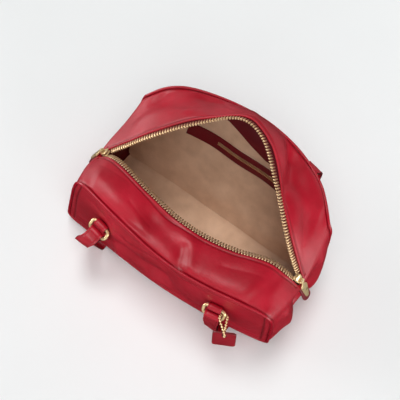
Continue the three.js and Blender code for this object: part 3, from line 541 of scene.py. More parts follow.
# %% Fine folds
FINE_FADE = 0.08
FINE_FOLDS = [
    ("top_front", 0.575, 0.0, 0.545, 0.45, 7, -2.2), ("top_front", 0.6, 0.04, 0.585, 0.26, 2.5, -0.7),
    ("top_front", 0.36, 0.55, 0.55, 0.42, 12, -3.5), ("top_front", 0.08, 0.3, 0.34, 0.22, 12, 2.6),
    ("top_front", 0.67, 0.16, 0.85, 0.2, 12, 3.2), ("top_front", 0.9, 0.15, 0.93, 0.75, 7, -1.4),
    ("top_front", 0.25, 0.45, 0.38, 0.38, 3.2, -0.7), ("top_front", 0.72, 0.5, 0.88, 0.6, 5, -1.0),
    ("top_front", 0.45, 0.85, 0.6, 0.78, 3.5, -0.6), ("top_front", 0.05, 0.6, 0.2, 0.75, 5, -0.9),
    ("top_back", 0.93, 0.18, 0.78, 0.42, 12, -3.0), ("top_back", 0.95, 0.5, 0.77, 0.64, 10, 2.2),
    ("top_back", 0.335, 0.1, 0.285, 0.2, 8, -2.5), ("top_back", 0.285, 0.2, 0.21, 0.42, 14, -4.5),
    ("top_back", 0.21, 0.42, 0.1, 0.46, 13, -3.0), ("top_back", 0.26, 0.12, 0.08, 0.12, 12, 2.5),
    ("top_back", 0.38, 0.9, 0.2, 0.88, 5, 1.2), ("top_back", 0.55, 0.1, 0.5, 0.8, 8, 1.2),
    ("top_back", 0.68, 0.15, 0.6, 0.5, 4, -1.0), ("top_back", 0.12, 0.55, 0.05, 0.8, 4, -1.0),
    ("front_panel", 0.86, 0.07, 0.98, 0.1, 2.5, -0.9), ("front_panel", 0.84, 0.12, 0.97, 0.15, 3, 0.9),
    ("front_panel", 0.88, 0.18, 0.98, 0.2, 2.5, -0.9), ("front_panel", 0.04, 0.3, 0.16, 0.24, 4, -1.1),
    ("front_panel", 0.06, 0.14, 0.2, 0.1, 4, -1.1), ("front_panel", 0.7, 0.35, 0.9, 0.28, 6, -1.0),
    ("front_panel", 0.3, 0.6, 0.5, 0.5, 15, -4.5), ("front_panel", 0.47, 0.28, 0.64, 0.24, 13, 4.0),
    ("front_panel", 0.25, 0.8, 0.31, 0.3, 9, 3.0), ("front_panel", 0.9, 0.4, 0.96, 0.6, 9, 2.0),
    ("front_panel", 0.1, 0.82, 0.42, 0.8, 5, -2.4), ("front_panel", 0.42, 0.8, 0.68, 0.88, 5, -2.0),
    ("side_right", 0.1, 0.3, 0.45, 0.22, 4, -1.0), ("side_right", 0.1, 0.5, 0.4, 0.46, 4, -0.8),
    ("side_right", 0.2, 0.85, 0.3, 0.2, 6, 2.0), ("side_right", 0.78, 0.9, 0.72, 0.25, 6, 1.6),
    ("side_left", 0.6, 0.3, 0.92, 0.22, 4, -1.0), ("back_panel", 0.1, 0.2, 0.3, 0.12, 6, -1.0),
]
WAVES = [
    (0.060, 0.021, 0.3, 0.45), (-0.034, 0.075, 1.7, 0.3), (0.110, -0.090, 2.9, 0.14),
    (0.170, 0.130, 4.1, 0.06), (-0.210, 0.160, 5.3, 0.05),
]
print(len(FINE_FOLDS), "fine folds and", len(WAVES), "waves")

# %% [markdown]
# A fold's height dies away to both sides along a soft bell, or along a steeper slope where it is a
# narrow crease. All relief fades out towards a panel's edges, so that neighbours still meet.

# %% Relief of a panel
SHARP_WIDTH, SHARP_TIP, SHARP_SPREAD = 6, 0.8, 0.8
SWELL_POWER = 0.6
WAVE_FADE = 0.06


def fade(t, reach):
    return smooth(t / reach) * smooth((1 - t) / reach)


def fold_heights(rows, panel, u, v, reach):
    across, up, _ = PANELS[panel]
    point = np.stack([u * across, v * up], axis=-1)
    height = np.zeros(len(u))
    for name, from_u, from_v, to_u, to_v, width, depth in rows:
        if name == panel:
            start, end = np.array([from_u * across, from_v * up]), np.array([to_u * across, to_v * up])
            along = end - start
            nearest = np.clip((point - start) @ along / (along @ along), 0, 1)
            distance = np.linalg.norm(point - start - along * nearest[:, None], axis=1)
            slope = (distance / width) ** 2
            if rows is FINE_FOLDS and depth < 0 and width < SHARP_WIDTH:
                slope = np.hypot(distance, SHARP_TIP) / (SHARP_SPREAD * width)
            height += depth * np.exp(-slope) * fade(u, reach) * fade(v, reach)
    return height


def main_relief(panel, u, v):
    along, up = np.sin(np.pi * np.clip(u, 0, 1)), np.sin(np.pi * np.clip(v, 0, 1))
    swell = PANELS[panel][2] * along**SWELL_POWER * up
    return swell + fold_heights(FOLDS, panel, u, v, EDGE_FADE)


def fine_relief(panel, u, v):
    across, up, _ = PANELS[panel]
    waves = sum(size * np.sin(a * u * across + b * v * up + start) for a, b, start, size in WAVES)
    waves = waves * fade(u, WAVE_FADE) * fade(v, WAVE_FADE)
    return waves + fold_heights(FINE_FOLDS, panel, u, v, FINE_FADE)


print("the front panel swells by", PANELS["front_panel"][2], "mm")

# %% [markdown]
# Where a panel meets another it is drawn down into the seam, and a row of stitches draws a shallow
# groove beside it. Bump in the leather's graph could hint at this. A groove in the mesh also shows
# at the outline and stays in an export, so it is part of the relief. The leather is also darker in
# the grooves: that is painted shade, standing in for their shadow.

# %% Seams and stitch grooves
SEAM_DIP, SEAM_REACH = 1.5, 2.4
STITCH_DIP, STITCH_REACH = 0.9, 1.2
BAND_RISE = 0.6
# Painted shade: how dark, and over how many millimetres, the leather is painted beside the seam, the stitch
# rows and the zip's stitch row.
SEAM_SHADE_PAINT, STITCH_SHADE_PAINT, ZIP_SHADE_PAINT = (0.8, 1.9), (0.75, 1.1), (0.6, 0.9)
DARKEST_PAINTED_SHADE = 0.9
ZIP_REVEAL, SLIDER_REVEAL, ZIP_STITCH = 4.3, 2.7, 4.2
SLIDER_SHARE = 0.07
SEAM_SIDES = {
    "front_panel": "left right bottom top", "back_panel": "left right bottom top",
    "top_front": "bottom", "top_back": "bottom", "side_left": "left right bottom",
    "side_right": "left right bottom", "base": "left right bottom top",
}
STITCH_INSET = {"front_panel": 8.0, "back_panel": 8.0}


def soft_line(away, height, reach):
    return height * np.exp(-((away / reach) ** 2))


def seam_distance(panel, u, v):
    across, up, _ = PANELS[panel]
    away = {"left": u * across, "right": (1 - u) * across, "bottom": v * up, "top": (1 - v) * up}
    return np.min([away[side] for side in SEAM_SIDES[panel].split()], axis=0)


def strip_width(strip, u):
    return np.linalg.norm(plain[strip](u, np.ones(len(u))) - plain[strip](u, np.zeros(len(u))), axis=1)


def zip_reveal(u):
    return SLIDER_REVEAL + (ZIP_REVEAL - SLIDER_REVEAL) * smooth(np.minimum(u, 1 - u) / SLIDER_SHARE)


def zip_distance(strip, u, v):
    return (1 - v) * strip_width(strip, u) - zip_reveal(u)


def seam_relief(panel, u, v):
    away = seam_distance(panel, u, v)
    height = -soft_line(away, SEAM_DIP, SEAM_REACH)
    if panel in STITCH_INSET:
        inset = STITCH_INSET[panel]
        height -= soft_line(away - inset, STITCH_DIP, STITCH_REACH)
        height += BAND_RISE * smooth(away / 2) * smooth((inset - away) / 3)
    if panel.startswith("top"):
        height -= soft_line(zip_distance(panel, u, v) - ZIP_STITCH, STITCH_DIP, STITCH_REACH)
    return height


# The shade painted into the leather beside seams and stitch rows, for the shadow in their grooves.
def seam_shade(panel, u, v):
    away = seam_distance(panel, u, v)
    dark = soft_line(away, *SEAM_SHADE_PAINT)
    if panel in STITCH_INSET:
        dark += soft_line(away - STITCH_INSET[panel], *STITCH_SHADE_PAINT)
    if panel.startswith("top"):
        dark += soft_line(zip_distance(panel, u, v) - ZIP_STITCH, *ZIP_SHADE_PAINT)
    return np.clip(dark, 0, DARKEST_PAINTED_SHADE)


print("seams drawn down by", SEAM_DIP, "mm, stitch rows by", STITCH_DIP, "mm")

# %% [markdown]
# The top strips and the ends are cut from one hide, so they turn over a soft crease and not a seam.
# A bevel would need them to be one mesh. Instead both surfaces sink near the crease, along the line
# that halves the corner, and other relief calms down there.

# %% Soft creases
ROUND_REACH, CORNER_REACH = 21.0, 22.0
CREASES = [
    ("top_front", 0, "side_left", lambda s: 1 - s / 2), ("top_front", 1, "side_right", lambda s: s / 2),
    ("top_back", 1, "side_left", lambda s: s / 2), ("top_back", 0, "side_right", lambda s: 1 - s / 2),
]


def corner_between(strip, u_end, side, t_of, s):
    s = np.clip(s, 0.02, 0.98)
    first = normal_at(plain[strip], np.full(len(s), float(u_end)), s)
    second = normal_at(plain[side], t_of(s), np.ones(len(s)))
    middle = unit(first + second)
    half_turn = np.sqrt(np.maximum(1 - np.sum(first * middle, axis=1) ** 2, 0))
    return middle, half_turn


def crease_round(panel, u, v, out):
    across, up, _ = PANELS[panel]
    moved, facing, calm = np.zeros((len(u), 3)), out.copy(), np.ones(len(u))
    for strip, u_end, side, t_of in CREASES:
        if panel == strip:
            away, s = np.abs(u - u_end) * across, v
        elif panel == side:
            front_half = t_of(0.5) > 0.5
            s = np.where((u > 0.5) == front_half, 2 * np.minimum(u, 1 - u), 0)
            away = (1 - v) * up
        else:
            continue
        middle, half_turn = corner_between(strip, u_end, side, t_of, s)
        from_corner = s * strip_width(strip, np.array([float(u_end)]))
        calm *= np.where(s > 0, smooth(away / ROUND_REACH), 1)
        clear = np.sqrt(1 - soft_line(from_corner, 1, CORNER_REACH))
        near = (np.clip(1 - away / ROUND_REACH, 0, 1) * clear)[:, None]
        moved -= ROUND_REACH / 2 * half_turn[:, None] * near**2 * middle
        facing = unit(facing * (1 - near) + middle * near)
    return moved, facing, calm


print("creases rounded over", ROUND_REACH, "mm")

# %% [markdown]
# The upper corners and the left crease are pushed in a little. Panels, piping, tape and lining all go
# through the same function, so that whatever lies near a corner moves with it.

# %% Soft corners and outer faces
LEFT_CREASE = np.array([-131.0, 37.0, 138.0])
# Middle, outward direction, depth, reach
CORNERS = [
    (at_end(back_rim, 0), (-0.6, 0.35, 0.72), 6.0, 32),
    (at_end(back_rim, 1), (0.6, 0.35, 0.72), 3.5, 30),
    (at_end(front_rim, 0), (-0.62, -0.25, 0.74), 3.0, 22),
    (at_end(front_rim, 1), (0.6, -0.3, 0.74), 3.0, 22),
    (LEFT_CREASE, (-0.75, 0.2, 0.63), 5.0, 30),
]


def softened(points):
    moved = np.array(points, dtype=float)
    for corner, outward, depth, reach in CORNERS:
        distance = np.linalg.norm(points - corner, axis=1)
        moved -= soft_line(distance, depth, reach)[:, None] * unit(outward)
    return moved


def outer_face(panel):
    def surface(u, v):
        out = normal_at(plain[panel], u, v)
        rounding, facing, calm = crease_round(panel, u, v, out)
        height = calm * (main_relief(panel, u, v) + fine_relief(panel, u, v)) + seam_relief(panel, u, v)
        return softened(plain[panel](u, v) + out * height[:, None] + facing * LEATHER / 2 + rounding)
    return surface


outer = {panel: outer_face(panel) for panel in PANELS}
print(len(outer), "outer faces and", len(CORNERS), "soft corners")

# %% [markdown]
# ## Helpers for pieces
#
# A soft sheet starts as a flat grid, and each vertex is then laid on its surface. A finished piece
# is linked to the scene, rides a body and takes the place of the plain solids it replaces. A sheet's
# open edges are marked sharp: Solidify puts a rim there, and smooth shading round the rim would
# draw a dark line along each seam.

# %% Helpers for pieces
EDGE_SEGMENTS, EDGE_ANGLE = 2, math.radians(50)


def piece(name, bm, materials, nodes, body="bag"):
    mesh = bpy.data.meshes.new(name)
    bm.to_mesh(mesh)
    bm.free()
    for material in materials:
        mesh.materials.append(material)
    mesh.polygons.foreach_set("use_smooth", [True] * len(mesh.polygons))
    made = bpy.data.objects.new(name, mesh)
    scene.collection.objects.link(made)
    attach(made, body)
    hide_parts(*nodes)
    return made


def laid_grid(columns, rows, place, flat_size=None, shade=None):
    bm = bmesh.new()
    bmesh.ops.create_grid(bm, x_segments=columns, y_segments=rows, size=1.0)
    flat = np.array([vert.co[:2] for vert in bm.verts])
    flat = (flat - flat.min(axis=0)) / (flat.max(axis=0) - flat.min(axis=0))
    if flat_size is not None:
        uv = bm.loops.layers.uv.new("flat")
        bm.verts.index_update()
        for face in bm.faces:
            for loop in face.loops:
                loop[uv].uv = flat[loop.vert.index] * np.array(flat_size) * MM
    # Painted shade along seams and stitch rows, stored per vertex for the leather's graph.
    if shade is not None:
        layer = bm.verts.layers.float.new("painted_seam_shade")
        for vert, dark in zip(bm.verts, shade(flat[:, 0], flat[:, 1])):
            vert[layer] = dark
    for vert, point in zip(bm.verts, to_frame(place(flat[:, 0], flat[:, 1]))):
        vert.co = point
    for edge in bm.edges:
        edge.smooth = not edge.is_boundary
    return bm


def thicken(made, thickness, offset=-1.0, inner=0, rim=0):
    solid = made.modifiers.new("thickness", "SOLIDIFY")
    solid.thickness = thickness * MM
    solid.offset = offset
    solid.material_offset = inner
    solid.material_offset_rim = rim


def round_edges(made, width):
    bevel = made.modifiers.new("rounded_edges", "BEVEL")
    bevel.width = width * MM
    bevel.segments = EDGE_SEGMENTS
    bevel.limit_method = "ANGLE"
    bevel.angle_limit = EDGE_ANGLE


print("helpers for pieces ready")

# %% [markdown]
# ## Leather panels
#
# Each panel is one sheet of leather. It could be a box with its lid cut off, but then all walls would
# share one grid. A sheet of its own can be dense near its seams, where the stitches draw it in.
# Solidify gives it thickness on the inside, with the flesh side or the lining as its inner face.

# %% Five panels
SEAM_MARGIN, MARGIN_SHARE = 13.0, 0.14
PANEL_GRIDS = {
    "front_panel": (170, 112, lining_cloth), "back_panel": (150, 100, flesh_side),
    "side_left": (90, 92, flesh_side), "side_right": (90, 92, flesh_side), "base": (110, 50, lining_cloth),
}


def close_to_edges(t, size):
    margin = SEAM_MARGIN / size
    return np.interp(t, [0, MARGIN_SHARE, 1 - MARGIN_SHARE, 1], [0, margin, 1 - margin, 1])


def panel_leather(panel, columns, rows, inner):
    across, up, _ = PANELS[panel]

    def dense(u, v):
        return close_to_edges(u, across), close_to_edges(v, up)

    def lay(u, v):
        return outer[panel](*dense(u, v))

    # Painted shade beside this panel's seams and stitch rows.
    def darken(u, v):
        return seam_shade(panel, *dense(u, v))

    made = piece(f"{panel}_leather", laid_grid(columns, rows, lay, (across, up), darken),
                 [red_leather, inner], [panel])
    thicken(made, LEATHER, inner=1)
    print(made.name, len(made.data.polygons), "faces")


for panel, grid in PANEL_GRIDS.items():
    panel_leather(panel, *grid)

# %% [markdown]
# The two top strips run from the piping to the zip. Along the zip the leather is folded over, so
# its free edge is a small roll. A rounded rim would show a cut edge there. The last rows of the grid
# turn under instead, as the real fold does.

# %% Top strips
STRIP_GRID, STRIP_LEATHER = (240, 76), 1.1
ROLL_RADIUS = 1.3
ROLL_TURN = math.radians(165)
ROLL_SHARE = 0.86


def strip_v(strip, u, t):
    return (1 - (zip_reveal(u) + ROLL_RADIUS) / strip_width(strip, u)) * np.minimum(t / ROLL_SHARE, 1)


def strip_place(strip):
    def place(u, t):
        v = strip_v(strip, u, t)
        point = outer[strip](u, v)
        turn = np.clip((t - ROLL_SHARE) / (1 - ROLL_SHARE), 0, 1)[:, None] * ROLL_TURN
        inward = unit(outer[strip](u, v) - outer[strip](u, v - 0.02))
        out = unit(np.cross(np.cross(inward, normal_at(plain[strip], u, v)), inward))
        return point + ROLL_RADIUS * (np.sin(turn) * inward + (np.cos(turn) - 1) * out)
    return place


for strip in ("top_front", "top_back"):
    # Painted shade beside the strip's seam and its zip stitches.
    darken = lambda u, t, s=strip: seam_shade(s, u, strip_v(s, u, t))
    made = piece(f"{strip}_leather", laid_grid(*STRIP_GRID, strip_place(strip), None, darken),
                 [red_leather, flesh_side], [strip])
    thicken(made, STRIP_LEATHER, inner=1)
    print(made.name, len(made.data.polygons), "faces")

# %% [markdown]
# ## Piping
#
# A cord wrapped in a narrow strip of leather is sewn into the seam round the front and the back
# panel. A curve with a round bevel could make it too. A long grid, rolled into a tube along the edge
# and welded along its seam, is a mesh from the start and also serves for the rings and the chain.

# %% Points along a path
def steps_along(points):
    return np.linalg.norm(np.diff(points, axis=0), axis=1)


def run_along(points):
    return np.concatenate([[0], np.cumsum(steps_along(points))])


def spaced(points, count, closed=False):
    points = np.asarray(points, dtype=float)
    if closed:
        points = np.vstack([points, points[:1]])
    run = run_along(points)
    at = np.linspace(0, run[-1], count + 1)
    if closed:
        at = at[:-1]
    return np.stack([np.interp(at, run, points[:, axis]) for axis in range(3)], axis=-1), run[-1]


def directions(points, closed=False):
    if closed:
        return unit(np.roll(points, -1, axis=0) - np.roll(points, 1, axis=0))
    return unit(np.gradient(points, axis=0))


print("the front rim is", round(steps_along(front_rim(np.linspace(0, 1, 100))).sum()), "mm long")

# %% Tubes along a path
FIRST_SIDE = np.array([0.3, 0.5, 0.8])
WELD_DISTANCE = 1e-6


def side_vectors(points):
    along = directions(points, closed=True)
    side = FIRST_SIDE
    sides = []
    for direction in along:
        side = unit(side - direction * (side @ direction))
        sides.append(side)
    return along, np.array(sides)


def tube(points, radius, sides):
    along, first = side_vectors(points)
    second = np.cross(along, first)
    across = unit(first[0] - along[-1] * (first[0] @ along[-1]))
    twist = math.atan2(across @ second[-1], across @ first[-1])
    angle = np.linspace(0, twist, len(points))[:, None]
    first, second = (first * np.cos(angle) + second * np.sin(angle),
                     second * np.cos(angle) - first * np.sin(angle))
    points, first, second = [np.vstack([rows, rows[:1]]) for rows in (points, first, second)]
    last = len(points) - 1

    def place(u, v):
        row = np.rint(u * last).astype(int)
        turn = 2 * np.pi * v[:, None]
        return points[row] + radius * (np.cos(turn) * first[row] + np.sin(turn) * second[row])

    bm = laid_grid(last, sides, place)
    bmesh.ops.remove_doubles(bm, verts=bm.verts, dist=WELD_DISTANCE)
    for edge in bm.edges:
        edge.smooth = True
    bmesh.ops.recalc_face_normals(bm, faces=bm.faces)
    return bm


print("tubes are welded within", WELD_DISTANCE, "m")

# %% Piping
PIPING_RADIUS, PIPING_PROUD = 1.6, 1.0
PIPING_STEPS, PIPING_SIDES, CORNER_TURNS = 460, 12, 8
for side, out_y in (("front", -1), ("back", 1)):
    bottom, top, left, right = OUTLINES[f"{side}_panel"]
    run = np.linspace(0, 1, 400)[:-1]
    loop = np.vstack([bottom(run), right(run), top(1 - run), left(1 - run)])
    loop, length = spaced(loop, PIPING_STEPS, closed=True)
    across = unit(np.cross(directions(loop, True), [0, 1, 0]))
    facing = np.sign(np.sum(across * (loop - loop.mean(axis=0)), axis=1))[:, None]
    path = softened(loop + unit(across * facing + np.array([0, out_y, 0])) * PIPING_PROUD)
    for _ in range(CORNER_TURNS):
        path = (np.roll(path, 1, axis=0) + 2 * path + np.roll(path, -1, axis=0)) / 4
    made = piece(f"{side}_piping_cord", tube(path, PIPING_RADIUS, PIPING_SIDES), [piping_leather],
                 [f"{side}_piping"])
    print(made.name, round(length), "mm round")

# %% [markdown]
# ## Stitches
#
# Rows of thread hold the seams. A dashed texture would lie flat and not catch the light. Here each
# stitch is a small ball, drawn out along the row and half sunk in its groove. It has few faces,
# because there are hundreds of them.

# %% One row of stitches
STITCH_PITCH, STITCH_SINK = 3.3, 0.05
STITCH_HALF = (1.3, 0.34, 0.3)


def basis(along, out, origin):
    along, out = unit(along), np.asarray(out, dtype=float)
    side = unit(np.cross(out, along))
    matrix = Matrix(np.column_stack([along, side, np.cross(along, side)]).tolist()).to_4x4()
    matrix.translation = Vector(to_frame(origin))
    return matrix


def spaced_with(points, values, count):
    run = run_along(points)
    at = np.linspace(0, run[-1], count + 1)
    return unit(np.stack([np.interp(at, run, values[:, axis]) for axis in range(3)], axis=-1))


def stitch_row(bm, points, normals, pitch=STITCH_PITCH):
    count = max(int(steps_along(points).sum() / pitch), 2)
    places, _ = spaced(points, count)
    outs = spaced_with(points, normals, count)
    along = directions(places)
    lay = Matrix.Rotation(math.pi / 2, 4, "Y")
    size = Matrix.Diagonal((*[half * MM for half in reversed(STITCH_HALF)], 1))
    for place, out, forward in zip(places, outs, along):
        matrix = basis(forward, out, place - out * STITCH_SINK) @ lay @ size
        bmesh.ops.create_uvsphere(bm, u_segments=6, v_segments=4, radius=1, matrix=matrix)


print("one stitch is", 2 * STITCH_HALF[0], "mm long")

# %% Stitches along the seams
PANEL_SAMPLES, STRIP_SAMPLES = 200, 300


def on_panel(panel, u, v):
    points = outer[panel](u, v)
    return points, normal_at(plain[panel], u, v)


for panel in ("front_panel", "back_panel"):
    across, up, _ = PANELS[panel]
    a, b = STITCH_INSET[panel] / across, STITCH_INSET[panel] / up
    run, ones = np.linspace(0, 1, PANEL_SAMPLES), np.ones(PANEL_SAMPLES)
    level, upright_run = a + (1 - 2 * a) * run, b + (1 - 2 * b) * run
    bm = bmesh.new()
    for u, v in ((level, (1 - b) * ones), (level, b * ones), (a * ones, upright_run),
                 ((1 - a) * ones, upright_run)):
        stitch_row(bm, *on_panel(panel, u, v))
    made = piece(f"{panel}_stitches", bm, [red_thread], [panel])
    print(made.name, len(made.data.polygons), "faces")

for strip in ("top_front", "top_back"):
    bm = bmesh.new()
    run = np.linspace(0.02, 0.98, STRIP_SAMPLES)
    width = strip_width(strip, run)
    stitch_row(bm, *on_panel(strip, run, 1 - (zip_reveal(run) + ZIP_STITCH) / width))
    made = piece(f"{strip}_stitches", bm, [red_thread], [strip])
    print(made.name, len(made.data.polygons), "faces")

# %% [markdown]
# ## Zip
#
# A woven tape is sewn under each free edge, and a row of brass teeth is clamped on the tape's edge.
# The zip is open, so the two rows lie apart and meet only at the sliders. The tape could follow a
# curve of its own, but it has to stay under the leather, so it is laid on the strip's own surface,
# a little deeper.

# %% Zip tapes
TAPE_DEPTH = (LEATHER + 1.0) / 2 + 0.8
TAPE_FAR, TAPE_NEAR, TAPE_CLOTH = 11.0, 0.4, 0.9
TAPE_FLAT = (280, 11)
ZIP_ENDS = {strip: 3 / PANELS[strip][0] for strip in ("top_front", "top_back")}


def under_strip(strip, u, v):
    out = normal_at(plain[strip], u, v)
    rounding, facing, calm = crease_round(strip, u, v, out)
    height = calm * main_relief(strip, u, v)
    return softened(plain[strip](u, v) + out * height[:, None] - facing * TAPE_DEPTH + rounding), out


for strip, end in ZIP_ENDS.items():
    def tape_place(t, w, strip=strip, end=end):
        u = end + (1 - 2 * end) * t
        away = TAPE_FAR + (TAPE_NEAR - TAPE_FAR) * w
        return under_strip(strip, u, 1 - away / strip_width(strip, u))[0]

    made = piece(f"{strip}_tape", laid_grid(200, 8, tape_place, TAPE_FLAT), [zip_tape],
                 [strip.replace("top", "zip_tape")])
    thicken(made, TAPE_CLOTH, offset=0)
    print(made.name, len(made.data.polygons), "faces")

# %% [markdown]
# Each tooth is a small block with its edges taken off. An array along a curve would keep all teeth
# upright. Here each one is turned to stand on the tape, so that the row fans out where the zip bends.

# %% Zip teeth
TOOTH_PITCH, TOOTH_BEVEL = 3.2, 0.28
TOOTH = (6.0, 1.75, 2.3)
TEETH_END = 7.5 / PANELS["top_front"][0]
TEETH_SAMPLES = 600


def tooth_template(bm):
    bmesh.ops.create_cube(bm, size=1.0, matrix=Matrix.Diagonal((*[t * MM for t in TOOTH], 1)))
    bmesh.ops.bevel(bm, geom=bm.edges[:], offset=TOOTH_BEVEL * MM, affect="EDGES", segments=1, profile=0.5,
                    material=-1)


def add_from(bm, other):
    spare = bpy.data.meshes.new("spare")
    other.to_mesh(spare)
    other.free()
    bm.from_mesh(spare)
    bpy.data.meshes.remove(spare)


def scatter(template, matrices):
    bm = bmesh.new()
    for matrix in matrices:
        one = bmesh.new()
        template(one)
        bmesh.ops.transform(one, matrix=matrix, verts=one.verts)
        add_from(bm, one)
    return bm


for strip in ZIP_ENDS:
    run = np.linspace(TEETH_END, 1 - TEETH_END, TEETH_SAMPLES)
    line, out = under_strip(strip, run, np.ones(TEETH_SAMPLES))
    count = int(steps_along(line).sum() / TOOTH_PITCH)
    places, length = spaced(line, count)
    outs = spaced_with(line, out, count)
    along = directions(places)
    matrices = [basis(np.cross(forward, facing), facing, point)
                for point, facing, forward in zip(places, outs, along)]
    made = piece(strip.replace("top", "zip_row"), scatter(tooth_template, matrices), [tooth_brass],
                 [strip.replace("top", "zip_teeth")])
    print(made.name, count + 1, "teeth over", round(length), "mm")

# %% [markdown]
# ## Sliders and pulls
#
# Each slider is two plates on a neck, with two ears that carry the pull's pin. The pull is a brass
# leaf on a leather tab with a round end. Both pulls turn on their pins. Cubes and cylinders could be
# joined with booleans, but that leaves ragged faces. Each part is flat, so an outline is drawn,
# raised to its thickness and bevelled along its rims.

# %% Plates from an outline
RIM_ANGLE = math.radians(40)


def plate(bm, outline, low, high, bevel, segments):
    verts = [bm.verts.new((x * MM, y * MM, low * MM)) for x, y in outline]
    face = bm.faces.new(verts)
    raised = bmesh.ops.extrude_face_region(bm, geom=[face])["geom"]
    top = [item for item in raised if isinstance(item, bmesh.types.BMVert)]
    bmesh.ops.translate(bm, verts=top, vec=(0, 0, (high - low) * MM))
    made = [*verts, *top]
    faces = list(dict.fromkeys(face for vert in made for face in vert.link_faces))
    bmesh.ops.recalc_face_normals(bm, faces=faces)
    edges = list(dict.fromkeys(edge for vert in made for edge in vert.link_edges))
    rims = [edge for edge in edges if edge.calc_face_angle(0) > RIM_ANGLE]
    bmesh.ops.bevel(bm, geom=rims, offset=bevel * MM, affect="EDGES", segments=segments, profile=0.5,
                    material=-1)


def arc(x, y, radius, start, stop, steps=8):
    turns = [math.radians(start + (stop - start) * i / steps) for i in range(steps + 1)]
    return [(x + radius * math.cos(t), y + radius * math.sin(t)) for t in turns]


print("a quarter turn is", len(arc(0, 0, 1, 0, 90)), "points")

# %% Where the sliders sit
SLIDER = {"length": 10, "nose": 6, "tail": 8.4, "height": 4.4, "ear": 1.2, "ear_length": 3, "pin": 0.8,
          "set_back": 2, "tail_corner": 1.4, "nose_corner": 1, "mouth": 0.9}
PULL = {"length": 27, "width": 9.6, "thickness": 1.8, "eye": 2.0, "bore": 1.15, "eye_width": 3.2,
        "droop": 12}
PULL_TAB = {"from": 9, "to": 34, "width": 12, "thickness": 2}
CLEARANCE = 0.3
PIN_X = SLIDER["length"] / 2 - 3
PIN_Z = SLIDER["height"] / 2 + PULL["eye"] + CLEARANCE


def zip_middle(u):
    at = np.array([float(u)])
    return (front_zip(at)[0] + back_zip(at)[0]) / 2


def slider_frame(end):
    out = unit(zip_middle(end) - zip_middle(0.05 if end == 0 else 0.95))
    side = np.array([0.0, -1 if end == 0 else 1, 0])
    across = unit(side - out * (side @ out))
    matrix = Matrix(np.column_stack([out, across, np.cross(out, across)]).tolist()).to_4x4()
    place = zip_middle(end) - out * (SLIDER["length"] / 2 + SLIDER["set_back"])
    matrix.translation = Vector(to_frame(place))
    return matrix


slider_frames = {side: slider_frame(end) for side, end in (("left", 0), ("right", 1))}
print("sliders at", *[matrix.translation.to_tuple(3) for matrix in slider_frames.values()])

# %% Sliders
def slider_mesh():
    bm = bmesh.new()
    half, tail, nose = SLIDER["length"] / 2, SLIDER["tail"] / 2, SLIDER["nose"] / 2
    wide, small, mouth = SLIDER["tail_corner"], SLIDER["nose_corner"], SLIDER["mouth"]
    front = half - small
    outline = [*arc(-half + wide, -tail + wide, wide, 180, 270, 4), (0, -tail), (front, -nose),
               *arc(front, -nose + small, small, -90, 0, 3), *arc(front, nose - small, small, 0, 90, 3),
               (front, nose), (0, tail), *arc(-half + wide, tail - wide, wide, 90, 180, 4)]
    outline = [p for i, p in enumerate(outline) if p != outline[i - 1]]
    neck = arc(2.4, 0, 1.5, 0, 360, 12)[:-1]
    plate(bm, outline, mouth, SLIDER["height"] / 2, 0.45, 3)
    plate(bm, outline, -SLIDER["height"] / 2, -mouth, 0.45, 3)
    plate(bm, neck, -1.2, 1.2, 0.1, 1)
    return bm


def slider_top(bm):
    ear = SLIDER["ear"]
    for side in (-1, 1):
        ears = bmesh.new()
        width = SLIDER["ear_length"] / 2
        foot = [(PIN_X - width, 1.6), (PIN_X + width, 1.6)]
        outline = [*foot, *arc(PIN_X, PIN_Z - 0.3, width * 0.8, 0, 180, 8)]
        middle = side * (PULL["eye_width"] / 2 + CLEARANCE + ear / 2)
        plate(ears, outline, -ear / 2, ear / 2, 0.25, 2)
        stand = Matrix.Translation((0, middle * MM, 0)) @ Matrix.Rotation(math.pi / 2, 4, "X")
        bmesh.ops.transform(ears, matrix=stand, verts=ears.verts)
        add_from(bm, ears)
    length = PULL["eye_width"] + 2 * CLEARANCE + 2 * ear + 0.4
    turn = Matrix.Translation((PIN_X * MM, 0, PIN_Z * MM)) @ Matrix.Rotation(math.pi / 2, 4, "X")
    bmesh.ops.create_cone(bm, cap_ends=True, segments=16, radius1=SLIDER["pin"] * MM,
                          radius2=SLIDER["pin"] * MM, depth=length * MM, matrix=turn)


def sharpened(made, degrees=35):
    made.data.set_sharp_from_angle(angle=math.radians(degrees))


for side, matrix in slider_frames.items():
    bm = slider_mesh()
    slider_top(bm)
    bmesh.ops.transform(bm, matrix=matrix, verts=bm.verts)
    made = piece(f"slider_{side}", bm, [brass], [f"zip_slider_{side}"])
    sharpened(made)
    print(made.name, len(made.data.polygons), "faces")

